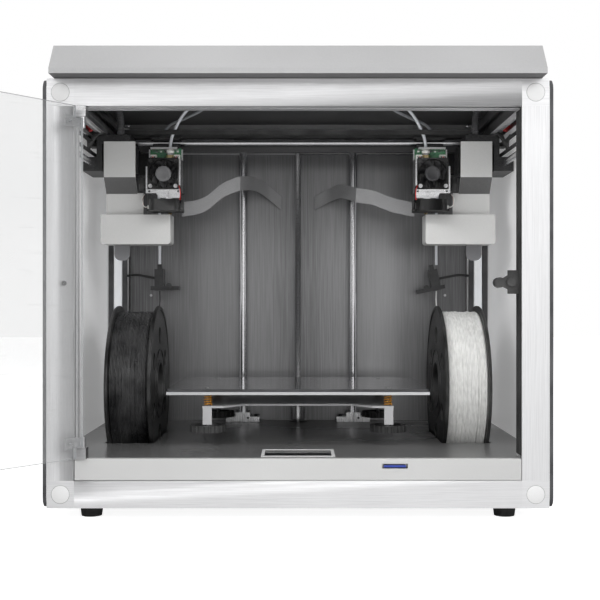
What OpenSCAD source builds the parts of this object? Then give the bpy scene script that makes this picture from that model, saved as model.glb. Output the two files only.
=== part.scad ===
// Enclosed desktop 3D printer (fused filament) with two independent extruders on one gantry.
// Millimetres. X to the right, Y to the rear, Z up.
// The origin is the centre of the chassis underside: the feet stand below it.

/* [Cabinet] */
// Outside width of the profile frame
cab_w = 550; // [546:1:560]
// Outside depth of the profile frame
cab_d = 410; // [406:1:420]
// Height of the profile frame, without feet and lid
cab_h = 470; // [466:1:480]
// Side of the square aluminium profiles
prof = 30; // [29:0.5:30]
// Thickness of the side panels
panel_t = 4.4; // [3:0.2:6]
// Height of the rubber feet
foot_h = 15; // [10:1:25]

/* [Deck] */
// Height of the deck's top face above the chassis underside
deck_z = 54; // [53.5:0.5:54.5]
// Thickness of the deck sheet
deck_t = 3; // [2:0.5:3]

/* [Door and lid] */
// Thickness of the clear door
door_t = 4; // [3:0.5:4]
// Angle at which the door stands open at rest
door_open = 128; // [100:1:140]
// Height of the lid above the frame
lid_h = 36; // [32:1:40]
// How far the lid stands out in front of the frame
lid_front = 24; // [15:1:30]
// Thickness of the lid sheet
lid_t = 2.5; // [2:0.5:3]

/* [Bed] */
// Width of the heated bed
bed_w = 314; // [300:1:314]
// Depth of the heated bed
bed_d = 210; // [200:1:210]
// Height of the bed's top face at rest
bed_z = 121.6; // [120:0.2:124]
// Diameter of the two vertical guide rods
z_rod_d = 12; // [10:1:12]

/* [Gantry] */
// Diameter of the gantry's guide rods
rod_d = 8; // [7:0.5:8]
// Width of one gantry end cover
cover_w = 40; // [38:0.5:40]
// Number of teeth on the belt pulleys, with 2 mm between teeth
pulley_teeth = 20; // [19:1:20]

/* [Extruders] */
// Distance of each parked extruder from the middle
park_x = 171; // [165:1:172]
// Side of the square cooling fan
fan_side = 40; // [38:1:40]
// Number of blades on a cooling fan
fan_blades = 7; // [5:1:9]

/* [Spools] */
// Diameter of the spool flanges
spool_d = 200; // [180:1:200]
// Width of a spool over its flanges
spool_w = 54; // [50:1:54]
// Diameter of the wound filament
winding_d = 186; // [120:2:190]

/* [Hidden] */
$fn = 48;
gap = 0.1;                             // gap between neighbouring pieces
run = 0.05;                            // radial running clearance of a shaft or rod
hx = cab_w / 2;                        // half width of the frame
hy = cab_d / 2;                        // half depth of the frame
ix = hx - prof;                        // half width of the door opening
iy = hy - prof;                        // half depth between the uprights
top_z = cab_h - prof;                  // underside of the top beams
rx = hx - prof / 2;                    // middle of an upright in X
ry = hy - prof / 2;                    // middle of an upright in Y
floor_z = deck_z - deck_t;             // underside of the deck

door_x = -ix + 10;                     // hinge axis of the door
door_y = -hy - 1;
door_z0 = deck_z + 2;
door_z1 = top_z - 2;
door_x0 = door_x + 4;                  // closed door, hinge side
door_x1 = ix - 1.5;                    // closed door, catch side
hinge_h = 12;                          // height of a door hinge block
leaf_bolt_z = 6;                       // height of the bolt on a hinge leaf

lid_hinge_y = hy + 5.5;
lid_hinge_z = cab_h + 1;
lid_z0 = cab_h + 0.8;
lid_w = cab_w - 15;
lid_hinge_x = 170;                     // distance of a lid hinge from the middle

spool_x = hx - 70;
spool_y = 6;
spool_z = deck_z + 66.6;
spool_r = spool_d / 2;
flange_t = 3;
well_x0 = spool_x - 30.5;
well_x1 = spool_x + 30.5;
well_y0 = spool_y - 82;
well_y1 = spool_y + 82;

z_rod_x = 79;                          // the two vertical rods and the screw stand in one row
z_rod_y = iy - 8;
screw_r = 4;
bed_y = 5;                             // middle of the bed in Y
glass_t = 3;
plate_t = 3.5;
bed_under = bed_z - glass_t - plate_t - 0.3;
level_x = 109;                         // levelling screws
level_y = 84;
sheet_z = bed_z - 23.4;                // underside of the bed carriage sheet
sheet_t = 2.4;
knob_z = bed_z - 52.4;                 // underside of the levelling knobs

y_rod_x = hx - 13;
y_rod_z = cab_h - 68;
y_belt_z = cab_h - 48;
y_idler_y = -iy + 15;
y_motor_y = iy - 18;
belt_w = 6;
belt_t = 1.2;
pitch_r = pulley_teeth * 2 / (2 * PI); // pitch radius of a pulley
tooth_r = pitch_r - 0.25;
belt_r = tooth_r + 0.05;               // inside radius of a belt on its pulley

rod_z = cab_h - 37.5;                  // X rods
rod_y = [20, 52];                      // front and rear X rod
end_z0 = rod_z - 6;                    // the two end plates that hold the X rods
end_z1 = rod_z + 5.5;
end_y0 = -13.9;
end_y1 = 58;
end_x0 = ix - 32;                      // inner edge of an end plate
lane_y = [5, 36];                      // left and right drive belt
motor_x = ix - 19;                     // X motors and pulleys
motor_side = 35.2;
belt_z = end_z1 + 2.3;                 // underside of the X belts

cover_x1 = ix + 1.5;                   // outer side of an end cover
cover_x0 = cover_x1 - cover_w;
tray_x0 = ix - 83;
tray_x1 = ix + 5.5;
tray_y1 = 22;
tray_z0 = top_z - 141;
tray_z1 = top_z - 103.4;

axis_z = rod_z - 43.9;                 // middle of fan, drive gear and motor
fan_y = -17;                           // front of the cooling fan
fan_t = 10;
fil_x = 6.4;                           // filament path beside the motor shaft, towards the middle
fil_y = 6;
nozzle_z = axis_z - 51.1;
blower_y = -23;                         // middle of the blower wheel
blower_h = 14.4;
blower_z = nozzle_z + 2.2;

// ---------- shared shapes ----------

module box(x, y, z) {
    translate([x[0], y[0], z[0]]) cube([x[1] - x[0], y[1] - y[0], z[1] - z[0]]);
}

module rod_x(x, y, z, r) {
    translate([x[0], y, z]) rotate([0, 90, 0]) cylinder(r = r, h = x[1] - x[0]);
}

module rod_y(x, y, z, r) {
    translate([x, y[0], z]) rotate([-90, 0, 0]) cylinder(r = r, h = y[1] - y[0]);
}

module rod_v(x, y, z, r) {
    translate([x, y, z[0]]) cylinder(r = r, h = z[1] - z[0]);
}

// Runs its children once as they are and once mirrored to the other side.
module both() {
    children();
    mirror([1, 0, 0]) children();
}

module on_side(side) {
    if (side > 0) children();
    else mirror([1, 0, 0]) children();
}

function arc(r, a0, a1, n) = [for (i = [0:n]) let (a = a0 + (a1 - a0) * i / n) [r * cos(a), r * sin(a)]];

// Corner points of a rectangle with rounded corners, centred on the origin.
function rounded(w, h, r, n = 5) = [
    for (q = [0:3]) let (sx = (q == 0 || q == 3) ? 1 : -1, sy = q < 2 ? 1 : -1)
        for (p = arc(r, q * 90, q * 90 + 90, n)) [sx * (w / 2 - r) + p[0], sy * (h / 2 - r) + p[1]]];

// One profile along Z, centred, with a T-slot on each listed side (0 = +X, 1 = +Y, 2 = -X, 3 = -Y).
module profile(length, slots) {
    translate([0, 0, -length / 2]) linear_extrude(length) difference() {
        square(prof, center = true);
        circle(r = 3.4);
        for (s = slots) rotate(s * 90) {
            translate([prof / 2 - 2.2, -4]) square([3, 8]);
            translate([prof / 2 - 8.4, -8]) square([6.21, 16]);
        }
    }
}

// A point on a smooth curve through four control points.
function bez(p, t) = pow(1 - t, 3) * p[0] + 3 * t * pow(1 - t, 2) * p[1]
    + 3 * t * t * (1 - t) * p[2] + pow(t, 3) * p[3];
function curve(p, n) = [for (i = [0:n]) bez(p, i / n)];
function unit(v) = v / norm(v);
function tangent(p, i) = unit(p[min(i + 1, len(p) - 1)] - p[max(i - 1, 0)]);

// A closed tube or strap that follows a list of points; the section is [half width, half height].
module sweep(path, a, b, sides, up = [0, 0, 1]) {
    m = len(path);
    ring = [for (k = [0:sides - 1]) let (w = 360 * (k + 0.5) / sides) [cos(w), sin(w)]];
    pts = [for (i = [0:m - 1]) let (t = tangent(path, i), s = unit(cross(t, up)), u = cross(s, t))
        for (r = ring) path[i] + s * a * r[0] + u * b * r[1]];
    polyhedron(points = pts, faces = concat(
        [[for (k = [0:sides - 1]) sides - 1 - k]],
        [[for (k = [0:sides - 1]) (m - 1) * sides + k]],
        [for (i = [0:m - 2]) for (k = [0:sides - 1]) for (h = [0, 1])
            let (k1 = (k + 1) % sides, a0 = i * sides + k, a1 = i * sides + k1)
            h == 0 ? [a0, a1, a1 + sides] : [a0, a1 + sides, a0 + sides]]));
}

// ---------- cabinet ----------

module frame_profiles() {
    color([0.80, 0.80, 0.80]) {
        for (sx = [-1, 1]) {
            for (sy = [-1, 1])
                translate([sx * rx, sy * ry, cab_h / 2])
                    profile(cab_h - 2 * prof, [sx > 0 ? 2 : 0, sy > 0 ? 3 : 1]);
            for (z = [prof / 2, cab_h - prof / 2])
                translate([sx * rx, 0, z]) rotate([90, 0, 0])
                    profile(2 * iy, [sx > 0 ? 2 : 0, z > prof ? 3 : 1]);
        }
        for (sy = [-1, 1], z = [prof / 2, cab_h - prof / 2])
            translate([0, sy * ry, z]) rotate([0, 90, 0])
                profile(2 * ix, [sy > 0 ? 3 : 1, z > prof ? 0 : 2]);
    }
}

module corner_blocks() {
    color([0.93, 0.93, 0.94])
        for (sx = [-1, 1], sy = [-1, 1], z = [prof / 2, cab_h - prof / 2])
            translate([sx * rx, sy * ry, z]) {
                difference() {
                    cube(prof, center = true);
                    rod_y(0, sy > 0 ? [prof / 2 - 2, prof] : [-prof, -prof / 2 + 2], 0, 9.35);
                }
                rod_y(0, sy > 0 ? [prof / 2 - 1.95, prof / 2 + 0.5]
                                : [-prof / 2 - 0.5, -prof / 2 + 1.95], 0, 9.25);
            }
}

module side_panels() {
    color([0.82, 0.84, 0.87]) both()
        translate([hx + gap, 0, cab_h / 2]) rotate([90, 0, 90])
            linear_extrude(panel_t - gap) polygon(rounded(cab_d, cab_h, 12));
}

inlet_x = -150;
switch_x = -112;
switch_y = hy - 0.4;
plug_z = 41;

module rear_panel() {
    color([0.75, 0.76, 0.78]) difference() {
        box([-ix + gap, ix - gap], [hy - 3, hy], [prof + gap, top_z - gap]);
        box([inlet_x - 14, inlet_x + 14], [hy - 5, hy + 5], [plug_z - 9.8, plug_z + 9.8]);
        box([switch_x - 10, switch_x + 10], [hy - 5, hy + 5], [plug_z - 7, plug_z + 7]);
        for (i = [0:11], x = [-140, 60])
            box([x, x + 80], [hy - 5, hy + 5], [top_z - 30 - i * 9, top_z - 26 - i * 9]);
    }
}

module back_liner() {
    color([0.55, 0.56, 0.57])
        box([-ix + gap, ix - gap], [iy + 10, iy + 11.5], [deck_z + gap, top_z - gap]);
}

module well() {
    difference() {
        box([well_x0, well_x1], [well_y0, well_y1], [2, floor_z - gap]);
        box([well_x0 + 1.2, well_x1 - 1.2], [well_y0 + 1.2, well_y1 - 1.2], [3.2, floor_z + 1]);
    }
    for (sy = [-1, 1])
        box([well_x0 + 1, well_x1 - 1], [spool_y + sy * 50 - 4, spool_y + sy * 50 + 4],
            [3, spool_z - sqrt(pow(spool_r, 2) - pow(46, 2)) - 0.3]);
}

module base_pan() {
    color([0.60, 0.61, 0.62]) {
        difference() {
            box([-ix + gap, ix - gap], [-iy + gap, iy - gap], [0, 1.6]);
            for (i = [0:9], x = [-60, 60])
                box([x - 40, x + 40], [-90 + i * 12, -85 + i * 12], [-1, 3]);
            for (sx = [-1, 1], sy = [-1, 1]) translate([sx * (ix - 12), sy * (iy - 10), 0])
                cube([31, 31, 6], center = true);
        }
        both() well();
    }
}

screen_y0 = -hy + 17;
screen_y1 = -hy + 69;
screen_x = 39.5;

module deck() {
    color([0.66, 0.66, 0.65]) {
        difference() {
            union() {
                box([-hx + 0.4, hx - 0.4], [-iy + 0.4, iy - 0.4], [floor_z, deck_z]);
                box([-ix + 0.4, ix - 0.4], [-hy + 8.5, iy + 9.8], [floor_z, deck_z]);
                both() box([hx - 1.9, hx - 0.4], [-iy + 0.4, iy - 0.4], [prof + gap, floor_z + 1]);
            }
            both() box([spool_x - 30, spool_x + 30], [spool_y - 79, spool_y + 79], [0, deck_z + 1]);
            box([-screen_x, screen_x], [screen_y0, screen_y1], [0, deck_z + 1]);
            rod_v(0, z_rod_y, [0, deck_z + 1], 13);
        }
    }
}

sd_x = 106;
sd_z = deck_z - 8;

module front_fascia() {
    color([0.80, 0.80, 0.79]) difference() {
        union() {
            box([-ix + 0.6, ix - 0.6], [-hy, -hy + 2], [prof + 0.6, deck_z]);
            box([-ix + 0.6, ix - 0.6], [-hy, -hy + 8.3], [deck_z - 1.6, deck_z]);
        }
        box([sd_x - 14, sd_x + 14], [-hy - 1, -hy + 3], [sd_z - 2.5, sd_z + 2.5]);
    }
}

module screen() {
    color([0.06, 0.06, 0.07])
        box([-screen_x + gap, screen_x - gap], [screen_y0 + gap, screen_y1 - gap],
            [deck_z - 4.5, deck_z - 0.6]);
    color([0.85, 0.85, 0.85]) difference() {
        box([-screen_x - 1.8, screen_x + 1.8], [screen_y0 - 1.8, screen_y1 + 1.8],
            [deck_z + 0.02, deck_z + 0.9]);
        box([-screen_x + 2, screen_x - 2], [screen_y0 + 2, screen_y1 - 2], [deck_z - 1, deck_z + 2]);
    }
}

foot_x = ix - 12;
foot_y = iy - 10;

module feet() {
    color([0.05, 0.05, 0.05])
        for (sx = [-1, 1], sy = [-1, 1])
            translate([sx * foot_x, sy * foot_y, -foot_h]) {
                difference() {
                    cylinder(r1 = 11.5, r2 = 13.5, h = foot_h);
                    translate([0, 0, -1]) cylinder(r = 4.5, h = 6);
                }
                // corner plate that carries the foot
                translate([-15.2, -15.2, foot_h]) box([sx < 0 ? 3.4 : 0, sx < 0 ? 30.4 : 27],
                    [sy < 0 ? 5.4 : 0, sy < 0 ? 30.4 : 25], [0, 1.6]);
            }
}

module electronics() {
    color([0.10, 0.30, 0.16]) {
        box([-120, 20], [-60, 50], [9, 10.6]);
        for (x = [-115, 15], y = [-55, 45]) rod_v(x, y, [1.7, 8.95], 3);
    }
    color([0.1, 0.1, 0.1])
        for (i = [0:5]) box([-110 + i * 20, -98 + i * 20], [-40, -26], [10.65, 22]);
    color([0.72, 0.72, 0.72]) {
        box([36, 150], [-60, 110], [2, 44]);
        difference() {
            box([sd_x - 13.2, sd_x + 13.2], [-hy + 6, -hy + 34], [sd_z - 2.4, sd_z + 2.4]);
            box([sd_x - 12.2, sd_x + 12.2], [-hy + 5, -hy + 31], [sd_z - 1.25, sd_z + 1.25]);
        }
        box([sd_x - 9, sd_x + 9], [-hy + 14, -hy + 32], [sd_z + 2.4, floor_z - gap]);
    }
    color([0.05, 0.05, 0.05]) difference() {
        union() {
            box([inlet_x - 13.8, inlet_x + 13.8], [hy - 24, hy + 1], [plug_z - 9.6, plug_z + 9.6]);
            box([inlet_x - 18, inlet_x + 18], [hy + 0.05, hy + 2], [plug_z - 10.4, plug_z + 10.4]);
        }
        box([inlet_x - 11.5, inlet_x + 11.5], [hy - 15, hy + 3], [plug_z - 7.5, plug_z + 7.5]);
    }
    color([0.75, 0.75, 0.76])
        for (x = [-7, 0, 7])
            box([inlet_x + x - 1, inlet_x + x + 1], [hy - 14.9, hy - 4], [plug_z - 2.4, plug_z + 2.4]);
    color([0.05, 0.05, 0.05]) switch_case();
}

module power_switch() {
    color([0.75, 0.08, 0.06]) {
        difference() {
            rod_x([switch_x - 7.5, switch_x + 7.5], switch_y, plug_z, 5.6);
            box([switch_x - 9, switch_x + 9], [switch_y + 3.2, hy + 9], [plug_z - 9, plug_z + 9]);
            box([switch_x - 9, switch_x + 9], [hy - 9, switch_y - 3], [plug_z - 9, plug_z + 9]);
        }
        rod_x([switch_x - 8.6, switch_x + 8.6], switch_y, plug_z, 1);
    }
}

// The case that holds the rocker's two pivots.
module switch_case() {
    difference() {
        box([switch_x - 9.8, switch_x + 9.8], [hy - 12, hy + 1.2], [plug_z - 6.8, plug_z + 6.8]);
        box([switch_x - 7.7, switch_x + 7.7], [hy - 8, hy + 3], [plug_z - 5.75, plug_z + 5.75]);
        rod_x([switch_x - 8.7, switch_x + 8.7], switch_y, plug_z, 1.05);
    }
}

module sd_card() {
    color([0.15, 0.22, 0.62])
        translate([sd_x, -hy - 1, sd_z - 1.05]) linear_extrude(2.1)
            polygon([[-12, 0], [12, 0], [12, 30], [-8, 30], [-12, 26]]);
}

module light_strips() {
    color([0.96, 0.97, 1]) both()
        box([hx - 20.4, hx - 9.6], [iy - 2.1, iy - gap], [deck_z + 8, y_rod_z - 16]);
}

sensor_y = 145;
sensor_x = 196;
sensor_z = top_z - 198;

// One filament sensor: a switch case on a foot that stands off the back liner.
module sensor(lean) {
    translate([sensor_x, sensor_y, sensor_z]) rotate([0, lean, 0]) {
        difference() {
            union() {
                box([-6.5, 6.5], [-8, 8], [0, 30]);
                box([-3, 3], [-3, 3], [30, 37]);
                box([-28, 12], [-8, 8], [0.5, 6]);
                rod_y(-14, [-10, -7], 6.5, 4);
            }
            rod_v(0, 0, [-1, 40], 1.2);
        }
        box([-18, -12], [8.05, iy + 9.9 - sensor_y], [1, 5.5]);
    }
}

module filament_sensors() {
    color([0.04, 0.04, 0.04]) {
        sensor(-12);
        mirror([1, 0, 0]) sensor(0);
    }
}

catch_z = deck_z + 193.6;

module door_block() {
    difference() {
        box([-ix + gap, door_x + 3.6], [door_y - 3, door_y + 12], [0, hinge_h]);
        rod_v(door_x, door_y, [-1, 9], 1.55);
    }
}

module lid_bracket() {
    for (x = [-lid_hinge_x, lid_hinge_x]) translate([x, 0, 0]) difference() {
        union() {
            box([-20, 20], [hy + 0.05, hy + 1.6], [cab_h - 22, cab_h - 4]);
            box([-8, 8], [hy + 0.05, lid_hinge_y], [cab_h - 6, lid_hinge_z - 1]);
            rod_x([-8, 8], lid_hinge_y, lid_hinge_z, 3.6);
        }
        rod_x([-9, 9], lid_hinge_y, lid_hinge_z, 1.55);
    }
}

module door_catch() {
    translate([0, -hy, catch_z]) {
        difference() {
            union() {
                translate([0, 11, 0]) rotate([90, 0, 0]) linear_extrude(3)
                    polygon([[ix - 3.4, -13], [ix - 3.4, 13], [ix - 14, 13], [ix - 14, 7.5],
                             [ix - 21, 3.5], [ix - 21, -4.5], [ix - 14, -8], [ix - 14, -13]]);
                box([ix - 3.5, ix - gap], [8, 27], [-13, 13]);
            }
            rod_x([ix - 9, ix + 5], 19, 0, 2.1);
        }
        rod_y(ix - 22.6, [8, 22], -0.5, 5.7);
        rod_y(ix - 10.4, [4.6, 7.95], 0, 5);
    }
    rod_y(-ix - 10.5, [-hy - 2.2, -hy - 0.02], catch_z - 1.5, 2.6);
}

module cabinet_fittings() {
    color([0.85, 0.85, 0.86]) {
        translate([0, 0, top_z - hinge_h - gap]) door_block();
        translate([0, 0, deck_z + hinge_h + gap]) mirror([0, 0, 1]) door_block();
        lid_bracket();
    }
    color([0.05, 0.05, 0.05]) door_catch();
}

module guide_rods() {
    color([0.78, 0.78, 0.80]) both() {
        rod_v(z_rod_x, z_rod_y, [deck_z + gap, cab_h - 6], z_rod_d / 2);
        rod_y(y_rod_x, [-iy + 1, iy - 1], y_rod_z, rod_d / 2);
    }
}

module motor_plate() {
    difference() {
        box([ix - 0.9, ix + 2], [y_motor_y - 17.6, iy - gap], [y_belt_z - 17.4, y_belt_z + 17.4]);
        rod_x([ix - 2, ix + 4], y_motor_y, y_belt_z, 11.1);
    }
}

module idler_fork() {
    for (x = [y_rod_x - 9, y_rod_x + 6.5])
        box([x, x + 2.5], [-iy + gap, y_idler_y + 8], [y_belt_z - 9, y_belt_z + 9]);
    rod_x([y_rod_x - 9, y_rod_x + 9], y_idler_y, y_belt_z, 2.5);
}

module rod_clamps() {
    color([0.78, 0.78, 0.79]) both() difference() {
        union() {
            box([z_rod_x - 24, z_rod_x + 24], [z_rod_y - 10, z_rod_y + 10], [deck_z + gap, deck_z + 8]);
            box([z_rod_x - 10.5, z_rod_x + 10.5], [z_rod_y - 10, z_rod_y + 10],
                [deck_z + gap, deck_z + 13.9]);
        }
        rod_v(z_rod_x, z_rod_y, [deck_z, cab_h], z_rod_d / 2 + run);
        box([z_rod_x - 0.7, z_rod_x + 0.7], [z_rod_y - 20, z_rod_y], [deck_z, deck_z + 20]);
    }
    color([0.12, 0.12, 0.12]) both() {
        difference() {
            box([z_rod_x - 12, z_rod_x + 12], [z_rod_y - 12, iy - gap], [cab_h - 24, cab_h - 6]);
            rod_v(z_rod_x, z_rod_y, [deck_z, cab_h], z_rod_d / 2 + run);
        }
        for (sy = [-1, 1]) difference() {
            box([y_rod_x - 9, y_rod_x + 9], sy > 0 ? [iy - 9, iy - gap] : [-iy + gap, -iy + 9],
                [y_rod_z - 9, y_rod_z + 9]);
            rod_y(y_rod_x, [-iy, iy], y_rod_z, rod_d / 2 + run);
        }
        motor_plate();
        idler_fork();
    }
    color([0.12, 0.12, 0.12]) difference() {
        box([-11, 11], [z_rod_y - 10, iy - gap], [cab_h - 24, cab_h - 14]);
        rod_v(0, z_rod_y, [0, cab_h], screw_r + run);
    }
}

module axis_motors() {
    color([0.15, 0.15, 0.15]) {
        difference() {
            union() {
                box([-21.15, 21.15], [z_rod_y - 21.15, z_rod_y + 21.15], [prof + 0.4, floor_z - gap]);
                rod_v(0, z_rod_y, [floor_z - 1, floor_z + 2], 11);
            }
            rod_v(0, z_rod_y, [floor_z - 12, floor_z + 3], 2.6);
        }
        both() difference() {
            union() {
                box([ix - 39, ix - 1], [y_motor_y - 17.6, y_motor_y + 17.6],
                    [y_belt_z - 17.5, y_belt_z + 17.5]);
                rod_x([ix - 2, ix + 1], y_motor_y, y_belt_z, 11);
            }
            rod_x([ix - 13, ix + 2], y_motor_y, y_belt_z, 2.6);
        }
    }
}

// A closed belt around two equal pulleys, drawn in its own plane and extruded along Z.
module belt_loop(length) {
    linear_extrude(belt_w) difference() {
        union() {
            translate([0, -belt_r - belt_t]) square([length, 2 * (belt_r + belt_t)]);
            circle(r = belt_r + belt_t);
            translate([length, 0]) circle(r = belt_r + belt_t);
        }
        translate([0, -belt_r]) square([length, 2 * belt_r]);
        circle(r = belt_r);
        translate([length, 0]) circle(r = belt_r);
    }
}

// A toothed-belt pulley along Z with a flange at each end and a bore.
module pulley(bore) {
    difference() {
        union() {
            cylinder(r = tooth_r, h = 9.2);
            cylinder(r = tooth_r + 2.6, h = 1.2);
            translate([0, 0, 8]) cylinder(r = tooth_r + 2.6, h = 1.2);
        }
        translate([0, 0, -1]) cylinder(r = bore, h = 12);
    }
}

module y_belts() {
    color([0.05, 0.05, 0.05]) both()
        translate([y_rod_x - belt_w / 2, y_idler_y, y_belt_z]) rotate([90, 0, 90])
            belt_loop(y_motor_y - y_idler_y);
}

module y_drive_pulleys() {
    color([0.75, 0.75, 0.77]) both() {
        translate([y_rod_x - 4.6, y_motor_y, y_belt_z]) rotate([0, 90, 0]) pulley(2.5);
        rod_x([ix - 11, y_rod_x + 6], y_motor_y, y_belt_z, 2.5);
    }
}

module y_idler_pulleys() {
    color([0.75, 0.75, 0.77]) both()
        translate([y_rod_x - 4.6, y_idler_y, y_belt_z]) rotate([0, 90, 0]) pulley(2.5 + run);
}

// ---------- door and lid ----------

// Places the closed door or its leaves at the open rest angle.
module open_door() {
    translate([door_x, door_y, 0]) rotate(-door_open) translate([-door_x, -door_y, 0]) children();
}

module front_door() {
    w = door_x1 - door_x0;
    h = door_z1 - door_z0;
    notch = hinge_h + 1.4;
    leaf_z = hinge_h + 12.3 - leaf_bolt_z - 2;
    color([0.75, 0.77, 0.78, 0.4]) open_door()
        translate([door_x0, -hy + door_t, door_z0]) rotate([90, 0, 0]) linear_extrude(door_t)
            difference() {
                translate([w / 2, h / 2]) polygon(rounded(w, h, 3));
                for (z = [-1, h - notch + 1]) translate([-1, z]) square([11, notch]);
                for (z = [leaf_z, h - leaf_z]) translate([15, z]) circle(r = 1.6);
            }
}

module door_leaf() {
    difference() {
        union() {
            rod_v(door_x, door_y, [0, 12], 3);
            rod_v(door_x, door_y, [11, 19], 1.5);
            box([door_x, door_x0 + 21], [door_y - 0.9, door_y + 0.9], [0, 12]);
        }
        rod_y(door_x0 + 15, [door_y - 5, door_y + 5], leaf_bolt_z, 1.6);
    }
    rod_y(door_x0 + 15, [door_y - 2.6, -hy + door_t], leaf_bolt_z, 1.5);
    rod_y(door_x0 + 15, [door_y - 2.6, door_y - 0.95], leaf_bolt_z, 3);
}

module door_hinge_leaves() {
    color([0.80, 0.80, 0.82]) open_door() {
        translate([0, 0, top_z - hinge_h - 12.3]) door_leaf();
        translate([0, 0, deck_z + hinge_h + 12.3]) mirror([0, 0, 1]) door_leaf();
    }
}

module lid_section(inset) {
    polygon([[-hy - lid_front + inset, lid_z0 - (inset > 0 ? 1 : 0)],
             [hy - inset, lid_z0 - (inset > 0 ? 1 : 0)],
             [hy - inset, cab_h + lid_h - inset],
             [-hy + inset * 0.4, cab_h + lid_h - inset],
             [-hy - lid_front + inset, lid_z0 + 6 - inset * 0.4]]);
}

module lid_shell() {
    color([0.72, 0.72, 0.73]) {
        difference() {
            translate([lid_w / 2, 0, 0]) rotate([90, 0, -90]) linear_extrude(lid_w)
                mirror([1, 0]) lid_section(0);
            translate([lid_w / 2 - lid_t, 0, 0]) rotate([90, 0, -90]) linear_extrude(lid_w - 2 * lid_t)
                mirror([1, 0]) lid_section(lid_t);
        }
        box([-lid_w / 2 + 1, lid_w / 2 - 1], [-hy - lid_front + 1, -hy + 6], [lid_z0, lid_z0 + 1.6]);
        for (x = [-lid_hinge_x, lid_hinge_x]) translate([x, 0, 0]) {
            box([-20, 20], [hy + 0.05, hy + 1.6], [cab_h + 6, cab_h + 26]);
            for (s = [-1, 1]) translate([s * 14, 0, 0]) {
                box([-5.5, 5.5], [hy + 0.05, lid_hinge_y], [lid_hinge_z + 1, cab_h + 8]);
                rod_x([-5.5, 5.5], lid_hinge_y, lid_hinge_z, 3.6);
            }
            rod_x([-9, 9], lid_hinge_y, lid_hinge_z, 1.5);
        }
    }
    color([0.20, 0.20, 0.20]) {
        box([-lid_w / 2 + 3, lid_w / 2 - 3], [-hy + 8, hy - 4], [cab_h + 16, cab_h + 18]);
        for (x = [-1, 1], y = [-1, 1])
            rod_v(x * (lid_w / 2 - 30), y * (hy - 30), [cab_h + 17, cab_h + lid_h - lid_t - gap], 5);
    }
}

// ---------- gantry ----------

module gantry_end() {
    difference() {
        union() {
            box([end_x0, ix + 6], [end_y0, end_y1], [end_z0, end_z1]);
            box([ix + 4, ix + 11], [end_y0, end_y1], [y_rod_z - 10, end_z1]);
            box([ix + 4, hx - 1], [end_y0, end_y1], [y_rod_z - 10, y_rod_z + 8]);
            box([ix + 10, hx - 5], [8, 30], [y_belt_z + 4.4, y_belt_z + 9.4]);
        }
        rod_y(y_rod_x, [-60, 90], y_rod_z, rod_d / 2 + run);
        for (y = rod_y) rod_x([end_x0 - 1, end_x0 + 6], y, rod_z, rod_d / 2 + run);
        box([y_rod_x - 3.5, hx], [0, 40], [y_belt_z + belt_r - 0.25, y_belt_z + belt_r + belt_t + 0.25]);
    }
}

module gantry_frame() {
    color([0.20, 0.20, 0.21]) {
        for (s = [0, 1]) on_side(s == 0 ? -1 : 1) {
            difference() {
                gantry_end();
                rod_v(motor_x, lane_y[s], [end_z0 - 1, end_z1 + 1], 11.1);
            }
            rod_v(motor_x, lane_y[1 - s], [end_z1 - 1, end_z1 + 11.5], 2.5);
        }
        box([-cover_x0 - 1, cover_x0 + 1], [30, 42], [rod_z - 10.5, rod_z - 2.5]);
        box([-end_x0 - 2, end_x0 + 2], [30, 42], [end_z0 + 0.1, rod_z - 2.5]);
    }
}

module x_rods() {
    color([0.84, 0.84, 0.86])
        for (y = rod_y) rod_x([-end_x0 - 5.5, end_x0 + 5.5], y, rod_z, rod_d / 2);
}

module x_motors() {
    color([0.15, 0.15, 0.15])
        for (s = [0, 1]) on_side(s == 0 ? -1 : 1) translate([motor_x, lane_y[s], 0]) difference() {
            union() {
                translate([-motor_side / 2, -motor_side / 2, end_z0 - gap - 34])
                    cube([motor_side, motor_side, 34]);
                rod_v(0, 0, [end_z0 - 2, end_z0 + 1.9], 11);
            }
            rod_v(0, 0, [end_z0 - 12, end_z0 + 5], 2.6);
        }
}

module x_pulley(side, lane) {
    color([0.80, 0.80, 0.82]) translate([side * motor_x, lane_y[lane], end_z1 + 0.7]) {
        pulley(2.5);
        rod_v(0, 0, [end_z0 - 10 - end_z1, 9.8], 2.5);
    }
}

module x_idler(side, lane) {
    color([0.80, 0.80, 0.82])
        translate([side * motor_x, lane_y[lane], end_z1 + 0.7]) pulley(2.5 + run);
}

module x_belts() {
    color([0.05, 0.05, 0.05])
        for (y = lane_y) translate([-motor_x, y, belt_z]) belt_loop(2 * motor_x);
}

// The sheet cover in front of an X motor, drawn from the side, and the catch tray below it.
module end_cover() {
    plate_y = 3;
    bend_z = end_z0 - 42.5;
    low_z = end_z0 - 62;
    front_z = end_z1 - 8.6;
    rotate([90, 0, 90]) translate([0, 0, cover_x1 - 1.4]) linear_extrude(1.4)
        polygon([[-14, end_z0 - 0.6], [-14, bend_z + 0.5], [plate_y + 1.5, low_z + 0.6],
                 [plate_y + 1.5, tray_z1 + gap], [20, tray_z1 + gap], [end_y1 - 2, bend_z],
                 [end_y1 - 2, end_z0 - 0.6]]);
    rotate([90, 0, 90]) translate([0, 0, cover_x0]) linear_extrude(cover_w)
        polygon([[-15.4, front_z], [-14, front_z], [-14, bend_z + 0.5], [plate_y + 1.5, low_z + 0.6],
                 [plate_y + 1.5, tray_z1 + gap], [plate_y, tray_z1 + gap], [plate_y, low_z],
                 [-15.4, bend_z]]);
    box([cover_x0 - 7.5, cover_x0 + 1], [plate_y, plate_y + 1.5], [tray_z1 + gap, tray_z1 + 29]);
}

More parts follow.
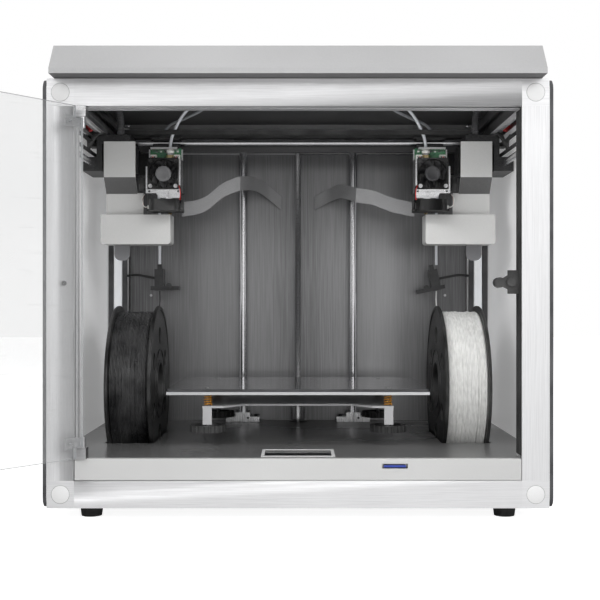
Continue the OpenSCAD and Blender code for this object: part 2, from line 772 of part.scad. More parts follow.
module catch_tray() {
    w = tray_x1 - tray_x0;
    h = tray_z1 - tray_z0;
    difference() {
        translate([(tray_x0 + tray_x1) / 2, tray_y1, (tray_z0 + tray_z1) / 2]) rotate([90, 0, 0])
            linear_extrude(tray_y1 + 15.4) polygon(concat(
                [[w / 2, h / 2], [-w / 2, h / 2]],
                [for (p = arc(4, 180, 270, 6)) [-w / 2 + 4 + p[0], -h / 2 + 4 + p[1]]],
                [for (p = arc(4, 270, 360, 6)) [w / 2 - 4 + p[0], -h / 2 + 4 + p[1]]]));
        box([tray_x0 + 2, tray_x1 - 2], [-13.4, tray_y1 - 2], [tray_z0 + 5, tray_z1 + 1]);
    }
    translate([tray_x0 + 65, 10, tray_z0]) rotate([90, 0, 0]) linear_extrude(2) polygon(concat(
        [[10, 1], [-10, 1]],
        [for (p = arc(8, 180, 270, 5)) [-2 + p[0], -12 + p[1]]],
        [for (p = arc(8, 270, 360, 5)) [2 + p[0], -12 + p[1]]]));
}

module gantry_covers() {
    color([0.83, 0.83, 0.83]) both() {
        end_cover();
        catch_tray();
    }
}

// ---------- carriages and extruders, drawn for the right side ----------

module carriage() {
    translate([park_x, 0, 0]) difference() {
        union() {
            box([-17, 17], [13, 27], [rod_z - 9.5, rod_z + 7]);
            box([-17, 17], [45, 59], [rod_z - 7.5, rod_z + 7]);
            box([-20, 20], [13, 59], [rod_z + 4.4, rod_z + 7]);
        }
        for (y = rod_y) rod_x([-30, 30], y, rod_z, rod_d / 2 + run);
        box([-30, 30], [10, 20], [rod_z - 2.8, rod_z + 2.8]);
    }
}

// Two fingers on the carriage that hold one run of its belt.
module belt_grip(lane, run_side) {
    y = lane_y[lane] + run_side * (belt_r + belt_t / 2);
    translate([park_x, y, 0]) {
        box([-6, 6], [-3, -0.75], [rod_z + 6, belt_z + 5]);
        box([-6, 6], [0.75, 3], [rod_z + 6, belt_z + 5]);
        box([-8, 8], [-3.4, 3.4], [rod_z + 4.4, rod_z + 7]);
    }
}

module extruder() {
    translate([park_x, 0, 0]) {
        // motor with a blind bore for its shaft
        difference() {
            box([-21.15, 21.15], [14.1, 48], [axis_z - 21.15, axis_z + 21.15]);
            rod_y(0, [10, 30], axis_z, 2.6);
        }
        // bracket: hanger, face plate, sides and lower apron
        difference() {
            union() {
                box([-22, 22], [12.1, 14], [axis_z - 21, rod_z - 9.6]);
                box([-17, 17], [-10, 27], [rod_z - 12, rod_z - 9.6]);
                box([-22, -20.1], [-6.9, 14], [axis_z - 21, axis_z + 19]);
                box([20.1, 22], [-6.9, 14], [axis_z - 21, axis_z + 9]);
                translate([0, fan_y + 1.8, axis_z]) rotate([90, 0, 0]) linear_extrude(1.8)
                    polygon([[22, -20.2], [22, -25], [9, -25], [5, -31], [-3.4, -31], [-3.4, -34],
                             [-9.4, -34], [-9.4, -31], [-22, -31], [-22, -20.2]]);
                box([-22, 22], [fan_y, 14], [axis_z - 22, axis_z - 20.2]);
                box([-22, -20.1], [fan_y, 1], [axis_z - 21, axis_z + 19]);
                box([20.1, 22], [fan_y, 1], [axis_z - 21, axis_z + 9]);
            }
            rod_y(0, [10, 16], axis_z, 11.2);
            for (z = [-24, -28.5]) rod_y(-fil_x, [fan_y - 1, fan_y + 3], axis_z + z, 1.1);
            rod_v(-fil_x, fil_y, [axis_z - 30, rod_z], 4.6);
        }
        // drive block with the gear chamber and the filament bore
        difference() {
            box([-20, 20], [1, 12], [axis_z - 19, axis_z + 19]);
            rod_y(0, [-1, 13], axis_z, 7);
            rod_v(-fil_x, fil_y, [axis_z - 30, axis_z + 30], 1.1);
        }
        // finned heat sink
        difference() {
            box([-19.9, 19.9], [-6.8, 0.9], [axis_z - 19.9, axis_z + 19.9]);
            for (i = [-4:4]) box([i * 4.2 - 1.4, i * 4.2 + 1.4], [-8, -1.6], [axis_z - 30, axis_z + 30]);
        }
        // push fitting, heat break, heater block and nozzle
        difference() {
            rod_v(-fil_x, fil_y, [axis_z + 19.05, axis_z + 30.5], 4.2);
            rod_v(-fil_x, fil_y, [axis_z + 18, axis_z + 31], 2.1);
        }
        rod_v(-fil_x, fil_y, [axis_z - 33, axis_z - 19.05], 3);
        box([-fil_x - 10, -fil_x + 10], [0, 13], [nozzle_z + 6.5, axis_z - 33.05]);
        translate([-fil_x, fil_y, nozzle_z]) cylinder(r1 = 0.6, r2 = 3.4, h = 3.5);
        rod_v(-fil_x, fil_y, [nozzle_z + 3.5, nozzle_z + 6.45], 3.6);
        // knob of the filament tension screw, on the outer side
        rod_v(27.5, -5, [axis_z - 21.2, axis_z - 4.6], 4.6);
        box([22.05, 27], [-8, -2], [axis_z - 15, axis_z - 9]);
        // wiring board above the fan, with its two connectors
        box([-20, 20], [10.4, 12], [axis_z + 21.4, axis_z + 35.4]);
        for (x = [-19, 11]) box([x, x + 8], [4, 10.35], [axis_z + 21.6, axis_z + 26.6]);
    }
}

module cooling() {
    // fan frame with rear spokes
    translate([park_x, fan_y, axis_z]) {
        rotate([-90, 0, 0]) difference() {
            linear_extrude(fan_t) difference() {
                polygon(rounded(fan_side, fan_side, 2.5));
                circle(r = fan_side / 2 - 1.5);
                for (x = [-16, 16], y = [-16, 16]) translate([x, y]) circle(r = 1.7);
            }
        }
        rod_y(0, [fan_t - 1.6, fan_t], 0, 9.5);
        for (a = [45:90:315]) rotate([0, a, 0])
            box([8, fan_side / 2 - 0.5], [fan_t - 1.6, fan_t], [-1, 1]);
        for (x = [-16, 16]) rod_y(x, [-1.2, fan_t - 0.1], -16, 1.6);
    }
    // flat blower below the fan, with its mouth towards the nozzle
    translate([park_x, 0, blower_z]) {
        difference() {
            union() {
                translate([-3, blower_y, 0]) linear_extrude(blower_h) polygon(rounded(38, 38, 9));
                box([-25, -6], [blower_y, -2], [0, blower_h]);
                box([8, 19], [blower_y - 6, blower_y + 6], [0, 3]);
                box([-27, -15], [blower_y - 6, blower_y + 4], [0, 3]);
            }
            translate([-3, blower_y, 1.2]) cylinder(r = 17.6, h = blower_h - 2.4);
            translate([-3, blower_y, 2]) cylinder(r = 12, h = blower_h);
            box([-23.6, -7.4], [blower_y, -1], [1.2, blower_h - 1.2]);
            rod_v(16.5, blower_y - 3, [-1, 4], 1.4);
        }
        box([-9.4, -3.4], [fan_y, fan_y + 1.8], [blower_h + 0.05, axis_z - 34.05 - blower_z]);
    }
}

module fan_rotor() {
    translate([park_x, fan_y + 1, axis_z]) {
        rod_y(0, [0, 7], 0, 10);
        for (i = [0:fan_blades - 1]) rotate([0, i * 360 / fan_blades, 0])
            translate([9, 3.5, 0]) rotate([40, 0, 0]) box([0, 8.6], [-0.5, 0.5], [-4.2, 4.2]);
    }
}

module blower_rotor() {
    translate([park_x - 3, blower_y, blower_z + 1.5]) {
        cylinder(r = 6, h = 10);
        cylinder(r = 14.5, h = 1.2);
        for (i = [0:15]) rotate(i * 22.5) box([11.5, 14.4], [-0.4, 0.4], [1, 11]);
    }
}

module drive_gear() {
    translate([park_x, 0, axis_z]) {
        rod_y(0, [3, 11], 0, fil_x - 0.9);
        rod_y(0, [2, 26], 0, 2.5);
    }
}

// ---------- bed ----------

sheet_y = bed_y - 95;
notch_y = sheet_y + 29;

module bed_carriage() {
    color([0.86, 0.86, 0.86]) difference() {
        union() {
            box([-level_x - 6, level_x + 6], [sheet_y, z_rod_y - 16], [sheet_z, sheet_z + sheet_t]);
            box([-98, 98], [z_rod_y - 18, z_rod_y - 15.5], [sheet_z - 12, sheet_z + sheet_t]);
            for (x = [-66, 0, 66]) box([x - 1.2, x + 1.2], [sheet_y, z_rod_y - 16],
                [sheet_z - (x == 0 ? 14 : 9), sheet_z + 1]);
            for (sx = [-1, 1]) box([sx * level_x - 5.5, sx * level_x + 5.5], [sheet_y, sheet_y + 2],
                [sheet_z - 20, sheet_z + 1]);
        }
        for (x = [-level_x, level_x], y = [bed_y - level_y, bed_y + level_y])
            rod_v(x, y, [sheet_z - 5, sheet_z + 5], 2.2);
        translate([0, 0, sheet_z - 21]) linear_extrude(30)
            polygon([[-90, sheet_y - 1], [-66, notch_y], [66, notch_y], [90, sheet_y - 1]]);
    }
    color([0.30, 0.30, 0.31]) {
        for (x = [-z_rod_x, z_rod_x]) difference() {
            box([x - 14, x + 14], [z_rod_y - 15.4, z_rod_y + 7.9], [sheet_z - 17, sheet_z + 10]);
            rod_v(x, z_rod_y, [0, cab_h], z_rod_d / 2 + run);
        }
        difference() {
            union() {
                rod_v(0, z_rod_y, [sheet_z - 9, sheet_z + 8], 5.5);
                rod_v(0, z_rod_y, [sheet_z - 1, sheet_z + 3], 11);
                box([-8, 8], [z_rod_y - 15.4, z_rod_y - 8], [sheet_z - 5, sheet_z + 3]);
            }
            rod_v(0, z_rod_y, [0, cab_h], screw_r + run);
        }
    }
}

module heated_bed() {
    color([0.80, 0.81, 0.82]) difference() {
        box([-bed_w / 2, bed_w / 2], [bed_y - bed_d / 2, bed_y + bed_d / 2],
            [bed_under, bed_under + plate_t]);
        for (x = [-level_x, level_x], y = [bed_y - level_y, bed_y + level_y])
            rod_v(x, y, [bed_under - 1, bed_under + 2], 2.05);
    }
}

module bed_glass() {
    color([0.10, 0.10, 0.11])
        translate([0, bed_y, bed_z - glass_t]) linear_extrude(glass_t)
            polygon(rounded(bed_w - 1, bed_d - 1, 3));
}

spring_h = bed_under - sheet_z - sheet_t - 0.2;

// A levelling spring as a closed coil, with its screw.
module bed_springs() {
    turns = 4;
    steps = 12;
    wire = 0.75;
    for (x = [-level_x, level_x], y = [bed_y - level_y, bed_y + level_y]) translate([x, y, 0]) {
        color([0.95, 0.62, 0.12])
            translate([0, 0, sheet_z + sheet_t + 0.1 + wire])
                sweep([for (i = [0:turns * steps]) [4.4 * cos(i * 360 / steps), 4.4 * sin(i * 360 / steps),
                    (spring_h - 2 * wire) * i / (turns * steps)]], wire, wire, 6);
        color([0.7, 0.7, 0.72])
            rod_v(0, 0, [knob_z + 1, bed_under + 1.9], 2);
    }
}

// A knurled levelling nut: a drum with grooves around its edge.
module knob(sx, sy) {
    color([0.08, 0.08, 0.08])
        translate([sx * level_x, bed_y + sy * level_y, knob_z]) difference() {
            cylinder(r = 22, h = 8);
            translate([0, 0, -1]) cylinder(r = 2.02, h = 10);
            translate([0, 0, 5]) cylinder(r = 16, h = 4);
            for (i = [0:17]) rotate(i * 20) translate([23, 0, -1]) cylinder(r = 2.2, h = 10, $fn = 16);
            cylinder(r = 7, h = 0.8);
        }
}

module z_screw() {
    color([0.72, 0.66, 0.48]) rod_v(0, z_rod_y, [deck_z + 16, cab_h - 16], screw_r);
    color([0.78, 0.78, 0.80]) {
        difference() {
            rod_v(0, z_rod_y, [deck_z + 4, deck_z + 22], 9.5);
            rod_v(0, z_rod_y, [deck_z + 15.9, deck_z + 30], screw_r + 0.02);
            rod_v(0, z_rod_y, [deck_z + 3, deck_z + 15], 2.52);
        }
        rod_v(0, z_rod_y, [floor_z - 11, deck_z + 14.9], 2.5);
    }
}

// ---------- spools, drawn for the right side ----------

module spool() {
    translate([spool_x, spool_y, spool_z]) rotate([0, 90, 0]) difference() {
        rotate_extrude() translate([0, -spool_w / 2]) polygon([
            [26, 0], [spool_r, 0], [spool_r, flange_t], [40, flange_t], [40, spool_w - flange_t],
            [spool_r, spool_w - flange_t], [spool_r, spool_w], [26, spool_w]]);
        for (i = [0:5]) rotate(i * 60) translate([62, 0, -spool_w]) cylinder(r = 11, h = 2 * spool_w);
    }
}

module winding() {
    translate([spool_x, spool_y, spool_z]) rotate([0, 90, 0])
        translate([0, 0, -spool_w / 2 + flange_t + gap]) difference() {
            cylinder(r = winding_d / 2, h = spool_w - 2 * flange_t - 2 * gap);
            translate([0, 0, -1]) cylinder(r = 40.05, h = spool_w);
        }
}

// ---------- flexible lines ----------

// The guide tube from an extruder up into the lid and down to its filament sensor.
module guide_tube() {
    top = [park_x - fil_x, fil_y, axis_z + 31];
    crest = [park_x - 42, -14, cab_h + 12];
    back = [sensor_x - 30, 84, cab_h + 6];
    foot = [sensor_x, sensor_y, sensor_z + 39];
    sweep(concat(curve([top, top + [1, 2, 26], crest + [16, 4, -12], crest], 10),
                 [for (p = curve([crest, crest + [-16, 10, 4], back - [26, 40, 0], back], 8))
                     if (p != crest) p],
                 [for (p = curve([back, back + [20, 34, -6], foot + [0, 0, 120], foot], 12))
                     if (p != back) p]),
          2, 2, 8, [0, 1, 0.01]);
}

// The strand that leaves the back of a spool for its sensor.
module strand() {
    r = winding_d / 2 + 1.2;
    start = [spool_x, spool_y + r * cos(21), spool_z - r * sin(21)];
    end = [sensor_x, sensor_y, sensor_z - 1.5];
    sweep(curve([start, start + [0, 20, 50], end - [0, 6, 60], end], 8), 0.9, 0.9, 6, [0, 1, 0.01]);
}

// The flat cable from the back liner, past the gantry, to the back of an extruder.
module flat_cable(rise) {
    wall = [30, iy + 6, axis_z - 15];
    crest = [78, end_y1 + 4, axis_z - 20 + 16 * rise];
    head = [park_x - 20, 51, axis_z - 34];
    way = unit(head - wall) * 30;
    sweep(concat(curve([wall, wall + [20, 0, 14], crest - way, crest], 10),
                 [for (p = curve([crest, crest + way, head + [-24, 8, 10], head], 10)) if (p != crest) p]),
          13.4, 0.8, 4, [0, 1, 0.01]);
}

// The corrugated sleeve that rises from an end plate into the lid.
module sleeve() {
    foot = [motor_x, end_y0 + 5, end_z1 + 1];
    sweep(curve([foot, foot + [0, -2, 34], foot + [4, -40, 42], foot + [6, -90, 42]], 10), 4.5, 4.5, 8,
          [1, 0, 0.01]);
}

module tubes_and_cables() {
    color([0.85, 0.86, 0.88]) both() guide_tube();
    color([0.1, 0.1, 0.1]) both() strand();
    color([0.70, 0.70, 0.70]) {
        flat_cable(0);
        mirror([1, 0, 0]) flat_cable(1);
    }
    color([0.30, 0.30, 0.30]) both() sleeve();
}

// ---------- the nodes ----------

frame_profiles();
corner_blocks();
side_panels();
rear_panel();
back_liner();
base_pan();
deck();
front_fascia();
screen();
feet();
electronics();
light_strips();
filament_sensors();
cabinet_fittings();
guide_rods();
rod_clamps();
axis_motors();
y_belts();
y_drive_pulleys();
y_idler_pulleys();
front_door();
door_hinge_leaves();
lid_shell();
gantry_frame();
x_rods();
x_motors();
x_belts();
gantry_covers();
x_pulley(-1, 0);  // left_x_pulley
x_idler(-1, 1);  // left_x_idler
x_pulley(1, 1);  // right_x_pulley
x_idler(1, 0);  // right_x_idler
tubes_and_cables();
color([0.10, 0.10, 0.11]) mirror([1, 0, 0]) {  // left_carriage
    carriage();
    belt_grip(0, 1);
}
color([0.70, 0.70, 0.71]) mirror([1, 0, 0]) extruder();  // left_extruder
color([0.06, 0.06, 0.06]) mirror([1, 0, 0]) cooling();  // left_cooling
color([0.35, 0.35, 0.35]) mirror([1, 0, 0]) fan_rotor();  // left_fan_rotor
color([0.1, 0.1, 0.1]) mirror([1, 0, 0]) blower_rotor();  // left_blower_rotor
color([0.75, 0.65, 0.40]) mirror([1, 0, 0]) drive_gear();  // left_drive_gear
color([0.10, 0.10, 0.11]) {  // right_carriage
    carriage();
    belt_grip(1, -1);
}
color([0.70, 0.70, 0.71]) extruder();  // right_extruder
color([0.06, 0.06, 0.06]) cooling();  // right_cooling
color([0.35, 0.35, 0.35]) fan_rotor();  // right_fan_rotor
color([0.1, 0.1, 0.1]) blower_rotor();  // right_blower_rotor
color([0.75, 0.65, 0.40]) drive_gear();  // right_drive_gear
bed_carriage();
heated_bed();
bed_glass();
bed_springs();
knob(-1, -1);  // knob_front_left
knob(1, -1);  // knob_front_right
knob(-1, 1);  // knob_rear_left
knob(1, 1);  // knob_rear_right
z_screw();
color([0.04, 0.04, 0.04]) mirror([1, 0, 0]) spool();  // left_spool
color([0.04, 0.04, 0.04]) spool();  // right_spool
color([0.05, 0.05, 0.05]) mirror([1, 0, 0]) winding();  // left_filament
color([0.92, 0.92, 0.90]) winding();  // right_filament
power_switch();
sd_card();
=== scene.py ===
import math
import random

import bmesh
import bpy
from mathutils import Matrix, Vector


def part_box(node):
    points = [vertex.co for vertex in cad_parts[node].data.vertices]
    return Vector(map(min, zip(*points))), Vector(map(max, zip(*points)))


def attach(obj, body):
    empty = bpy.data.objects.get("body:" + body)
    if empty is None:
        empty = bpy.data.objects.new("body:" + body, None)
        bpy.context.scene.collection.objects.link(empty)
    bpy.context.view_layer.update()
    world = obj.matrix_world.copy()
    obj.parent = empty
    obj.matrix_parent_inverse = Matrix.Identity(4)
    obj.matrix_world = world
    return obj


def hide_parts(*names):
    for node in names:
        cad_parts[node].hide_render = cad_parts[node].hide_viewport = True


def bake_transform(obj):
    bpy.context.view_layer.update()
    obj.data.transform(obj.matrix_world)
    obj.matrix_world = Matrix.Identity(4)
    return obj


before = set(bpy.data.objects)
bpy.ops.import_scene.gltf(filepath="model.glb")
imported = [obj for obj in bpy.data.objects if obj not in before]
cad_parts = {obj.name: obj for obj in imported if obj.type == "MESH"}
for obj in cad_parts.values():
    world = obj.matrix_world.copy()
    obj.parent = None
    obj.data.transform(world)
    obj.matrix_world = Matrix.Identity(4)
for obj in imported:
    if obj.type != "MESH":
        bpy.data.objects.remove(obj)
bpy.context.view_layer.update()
random.seed(7)

MM = 0.001
X, Y, Z = Vector((1, 0, 0)), Vector((0, 1, 0)), Vector((0, 0, 1))


def middle(node):
    low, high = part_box(node)
    return (low + high) / 2


# ---------- materials ----------

def remap(tree, value, **ends):
    """Maps a value from one range to another; each end is named as on the node, such as from_min."""
    node = tree.nodes.new("ShaderNodeMapRange")
    tree.links.new(value, node.inputs["Value"])
    for end, number in ends.items():
        node.inputs[end.replace("_", " ").title()].default_value = number
    return node.outputs["Result"]


class Look:
    """A procedural material that is built up layer by layer around one Principled shader."""

    def __init__(self, name, colour, rough, metal=0.0):
        self.material = bpy.data.materials.new(name)
        self.material.use_nodes = True
        self.tree = self.material.node_tree
        self.shader = self.tree.nodes["Principled BSDF"]
        self.place = self.tree.nodes.new("ShaderNodeTexCoord").outputs["Object"]
        self.colour = self._rgb(colour)
        self.rough = rough
        self.bump = None
        self.set("Metallic", metal)
        self.set("Roughness", rough)

    def set(self, name, value):
        self.shader.inputs[name].default_value = value
        return self

    def link(self, a, b):
        self.tree.links.new(a, b)

    def _rgb(self, colour):
        node = self.tree.nodes.new("ShaderNodeRGB")
        node.outputs[0].default_value = (*colour, 1)
        return node.outputs[0]

    def noise(self, scale, stretch=(1, 1, 1), detail=3.0, low=0.35, high=0.65):
        """A noise from 0 to 1; stretch above 1 packs it tighter along that axis."""
        mapping = self.tree.nodes.new("ShaderNodeMapping")
        mapping.inputs["Scale"].default_value = stretch
        texture = self.tree.nodes.new("ShaderNodeTexNoise")
        texture.inputs["Scale"].default_value = scale
        texture.inputs["Detail"].default_value = detail
        self.link(self.place, mapping.inputs["Vector"])
        self.link(mapping.outputs["Vector"], texture.inputs["Vector"])
        return remap(self.tree, texture.outputs["Fac"], from_min=low, from_max=high)

    def dots(self, scale, low, high):
        """Cells that run from 0 to 1 between two distances from their middles."""
        texture = self.tree.nodes.new("ShaderNodeTexVoronoi")
        texture.inputs["Scale"].default_value = scale
        self.link(self.place, texture.inputs["Vector"])
        return remap(self.tree, texture.outputs["Distance"], from_min=low, from_max=high)

    def tint(self, mask, colour, amount=1.0):
        """Mixes in another colour where the mask is high."""
        share = self.tree.nodes.new("ShaderNodeMath")
        share.operation = "MULTIPLY"
        share.inputs[1].default_value = amount
        mix = self.tree.nodes.new("ShaderNodeMix")
        mix.data_type = "RGBA"
        self.link(mask, share.inputs[0])
        self.link(share.outputs[0], mix.inputs["Factor"])
        self.link(self.colour, mix.inputs["A"])
        mix.inputs["B"].default_value = (*colour, 1)
        self.colour = mix.outputs["Result"]
        return self

    def vary_rough(self, mask, low, high):
        self.link(remap(self.tree, mask, to_min=low, to_max=high), self.shader.inputs["Roughness"])
        return self

    def relief(self, mask, height, strength=1.0):
        """Adds a bump of this height, in metres, under the bumps that are there already."""
        bump = self.tree.nodes.new("ShaderNodeBump")
        bump.inputs["Strength"].default_value = strength
        bump.inputs["Distance"].default_value = height
        self.link(mask, bump.inputs["Height"])
        if self.bump is not None:
            self.link(self.bump, bump.inputs["Normal"])
        self.bump = bump.outputs["Normal"]
        return self

    def done(self):
        self.link(self.colour, self.shader.inputs["Base Color"])
        if self.bump is not None:
            self.link(self.bump, self.shader.inputs["Normal"])
        return self.material


def mixed(colour, other, share):
    return tuple(a + (b - a) * share for a, b in zip(colour, other))


def brushed(name, colour, rough, grain, metal=1.0, smudge=0.06, contrast=0.12):
    """Bare metal with a brushed grain; grain is the direction the lines run in."""
    look = Look(name, colour, rough, metal)
    stretch = tuple(0.015 if axis == grain else 1 for axis in "XYZ")
    lines = look.noise(1500, stretch, 4)
    cloud = look.noise(9, (1, 1, 1), 3)
    look.tint(lines, mixed(colour, (0, 0, 0), contrast))
    look.tint(cloud, mixed(colour, (1, 1, 1), 0.25), smudge * 4)
    look.vary_rough(lines, rough - 0.07, rough + 0.09)
    return look.relief(lines, 0.00004).done()


def banded(name, colour, rough):
    """Plain steel sheet with broad, darker upright bands of painted shade and a fine upright grain."""
    look = Look(name, colour, rough, 0.7)
    shade_bands = look.noise(9, (1, 1, 0.03), 2)
    lines = look.noise(1100, (1, 1, 0.015), 3)
    look.tint(shade_bands, mixed(colour, (0, 0, 0), 0.55))
    look.tint(lines, mixed(colour, (1, 1, 1), 0.08), 0.5)
    look.vary_rough(shade_bands, rough - 0.06, rough + 0.08)
    return look.relief(lines, 0.00002).done()


def lit(material, strength):
    """Adds a soft glow, which stands in for light bounced from the light strips."""
    shader = material.node_tree.nodes["Principled BSDF"]
    shader.inputs["Emission Color"].default_value = (1, 1, 1, 1)
    shader.inputs["Emission Strength"].default_value = strength


def painted(name, colour, rough=0.42, metal=0.0, peel=0.00003):
    """Powder-coated sheet: fine orange peel, slow tone changes and a few dust specks."""
    look = Look(name, colour, rough, metal)
    tone = look.noise(6, (1, 1, 1), 2)
    grain = look.noise(1400, (1, 1, 1), 2)
    dust = look.dots(160, 0.05, 0.02)
    look.tint(tone, mixed(colour, (0, 0, 0), 0.10))
    look.tint(grain, mixed(colour, (1, 1, 1), 0.10), 0.5)
    look.tint(dust, mixed(colour, (1, 1, 1), 0.3), 0.35)
    look.vary_rough(tone, rough - 0.05, rough + 0.07)
    look.relief(look.noise(420, (1, 1, 1), 1), peel)
    return look.relief(grain, peel * 0.5).done()


def moulded(name, colour, rough=0.45, grain=0.00003):
    """Moulded plastic with a fine spark-eroded grain."""
    look = Look(name, colour, rough)
    fine = look.noise(1800, (1, 1, 1), 3)
    flow = look.noise(14, (1, 1, 2.5), 2)
    look.tint(flow, mixed(colour, (1, 1, 1), 0.06))
    look.tint(fine, mixed(colour, (0, 0, 0), 0.2), 0.5)
    look.vary_rough(fine, rough - 0.06, rough + 0.10)
    return look.relief(fine, grain).done()


def rubber(name, colour=(0.018, 0.018, 0.018)):
    look = Look(name, colour, 0.75)
    fine = look.noise(1100, (1, 1, 1), 4)
    bloom = look.noise(30, (1, 1, 1), 3)
    look.tint(bloom, mixed(colour, (0.3, 0.3, 0.3), 0.12), 0.7)
    look.vary_rough(fine, 0.62, 0.85)
    return look.relief(fine, 0.00008).done()


def polished(name, colour=(0.78, 0.78, 0.80), rough=0.22):
    """Ground and polished steel: a very fine grain and thin oil stains."""
    look = Look(name, colour, rough, 1.0)
    grain = look.noise(600, (1, 1, 1), 3)
    oil = look.noise(25, (1, 1, 1), 3)
    look.tint(oil, mixed(colour, (0.2, 0.2, 0.2), 0.12), 0.5)
    look.vary_rough(oil, rough - 0.03, rough + 0.04)
    return look.relief(grain, 0.000001).done()


def wound(name, colour, rough):
    """Wound filament: fine streaks along the strands and small sheen changes."""
    look = Look(name, colour, rough)
    strand = look.noise(420, (1, 0.25, 0.25), 2)
    tone = look.noise(30, (1, 1, 1), 3)
    look.tint(strand, mixed(colour, (0, 0, 0), 0.22))
    look.tint(tone, mixed(colour, (1, 1, 1), 0.10), 0.5)
    look.vary_rough(strand, rough - 0.08, rough + 0.12)
    look.set("Coat Weight", 0.15)
    return look.relief(strand, 0.00006).done()


def acrylic(name, colour, alpha):
    """Clear sheet with a light haze and fine scratches."""
    look = Look(name, colour, 0.08)
    haze = look.noise(7, (1, 1, 1), 3)
    scratch = look.noise(260, (0.08, 0.08, 1), 2, 0.62, 0.70)
    look.tint(haze, mixed(colour, (1, 1, 1), 0.3))
    look.vary_rough(haze, 0.05, 0.2)
    look.set("IOR", 1.45)
    total = look.tree.nodes.new("ShaderNodeMath")
    total.operation = "MULTIPLY_ADD"
    total.inputs[1].default_value = 0.025
    total.inputs[2].default_value = alpha
    look.link(scratch, total.inputs[0])
    look.link(total.outputs[0], look.shader.inputs["Alpha"])
    return look.relief(haze, 0.00002).done()


def glowing(name, colour, strength):
    look = Look(name, colour, 0.4)
    cells = look.noise(160, (1, 1, 0.6), 1)
    look.tint(cells, mixed(colour, (1, 0.95, 0.8), 0.3), 0.5)
    look.link(look.colour, look.shader.inputs["Emission Color"])
    look.set("Emission Strength", strength)
    return look.relief(cells, 0.00005).done()


def circuit(name, colour):
    """A wiring board: small lighter cells on a coated base."""
    look = Look(name, colour, 0.35)
    cells = look.dots(340, 0.25, 0.35)
    tone = look.noise(40, (1, 1, 1), 2)
    look.tint(cells, mixed(colour, (0.3, 0.8, 0.4), 0.25), 0.6)
    look.tint(tone, mixed(colour, (0, 0, 0), 0.3), 0.6)
    look.set("Coat Weight", 0.3)
    return look.relief(cells, 0.00004).done()


def smoked(name, colour):
    """Dark glass with wiped dust."""
    look = Look(name, colour, 0.08)
    dust = look.noise(35, (1, 4, 1), 3)
    look.tint(dust, (0.10, 0.10, 0.11), 0.35)
    look.vary_rough(dust, 0.05, 0.22)
    look.set("Coat Weight", 0.6)
    return look.relief(dust, 0.00001).done()


LOOKS = {name: make(name, *values) for name, make, *values in (
    ("frame_x", brushed, (0.84, 0.84, 0.85), 0.42, "X", 0.55),
    ("frame_y", brushed, (0.84, 0.84, 0.85), 0.42, "Y", 0.55),
    ("frame_z", brushed, (0.84, 0.84, 0.85), 0.42, "Z", 0.55),
    ("corner", brushed, (0.86, 0.86, 0.87), 0.42, "X", 0.5),
    ("cap_groove", painted, (0.45, 0.45, 0.45), 0.5),
    ("cap", painted, (0.86, 0.86, 0.86), 0.4),
    ("panel", brushed, (0.66, 0.68, 0.72), 0.38, "Y"),
    ("panel_core", moulded, (0.05, 0.05, 0.055), 0.6),
    ("panel_inside", painted, (0.86, 0.86, 0.87), 0.4),
    ("sheet", painted, (0.50, 0.50, 0.51)),
    ("sheet_light", painted, (0.50, 0.50, 0.51), 0.35),
    ("liner", banded, (0.26, 0.26, 0.265), 0.34),
    ("deck", painted, (0.19, 0.19, 0.19), 0.24, 0.35),
    ("fascia", painted, (0.62, 0.62, 0.615), 0.4, 0.1),
    ("rubber", rubber),
    ("screen_glass", smoked, (0.012, 0.012, 0.014)),
    ("bezel", painted, (0.68, 0.68, 0.68), 0.35),
    ("board", circuit, (0.02, 0.11, 0.05)),
    ("light", glowing, (0.80, 0.82, 0.85), 0.30),
    ("black", moulded, (0.008, 0.008, 0.008)),
    ("dark", moulded, (0.045, 0.045, 0.048), 0.5),
    ("steel", brushed, (0.62, 0.62, 0.63), 0.32, "X"),
    ("chrome", polished),
    ("black_metal", painted, (0.012, 0.012, 0.013), 0.38, 0.3),
    ("motor", painted, (0.02, 0.02, 0.02), 0.32, 0.3),
    ("alloy", brushed, (0.70, 0.70, 0.71), 0.3, "Z"),
    ("door", acrylic, (0.50, 0.51, 0.52), 0.15),
    ("door_edge", acrylic, (0.30, 0.32, 0.33), 0.75),
    ("lid", painted, (0.46, 0.46, 0.465), 0.45, 0.15),
    ("lid_underside_shade", painted, (0.12, 0.12, 0.122), 0.6),
    ("cover", painted, (0.62, 0.62, 0.61), 0.45),
    ("cover_painted_shade", painted, (0.12, 0.12, 0.12), 0.4),
    ("tongue", moulded, (0.20, 0.20, 0.21), 0.35),
    ("blade", moulded, (0.008, 0.008, 0.009), 0.35),
    ("blower", moulded, (0.007, 0.007, 0.007), 0.45),
    ("tube", moulded, (0.72, 0.74, 0.78), 0.25),
    ("extruder", brushed, (0.72, 0.72, 0.73), 0.3, "X"),
    ("hub", moulded, (0.16, 0.16, 0.165), 0.5),
    ("brass", brushed, (0.70, 0.55, 0.28), 0.3, "Z"),
    ("bed_plate", brushed, (0.78, 0.79, 0.80), 0.34, "X"),
    ("bed_glass", smoked, (0.03, 0.03, 0.032)),
    ("spring", painted, (0.80, 0.36, 0.04), 0.35, 0.2),
    ("spool", moulded, (0.006, 0.006, 0.006), 0.42),
    ("filament_black", wound, (0.005, 0.005, 0.006), 0.3),
    ("filament_white", wound, (0.90, 0.90, 0.88), 0.4),
    ("switch", moulded, (0.55, 0.03, 0.025), 0.3),
    ("card", moulded, (0.03, 0.06, 0.36), 0.35),
    ("red_wire", moulded, (0.60, 0.02, 0.02), 0.35),
    ("white_plastic", moulded, (0.80, 0.80, 0.76), 0.35),
    ("ribbon", moulded, (0.27, 0.27, 0.275), 0.4),
)}
# The side panels' insides glow faintly: painted light that stands in for bounced light.
lit(LOOKS["panel_inside"], 0.22)

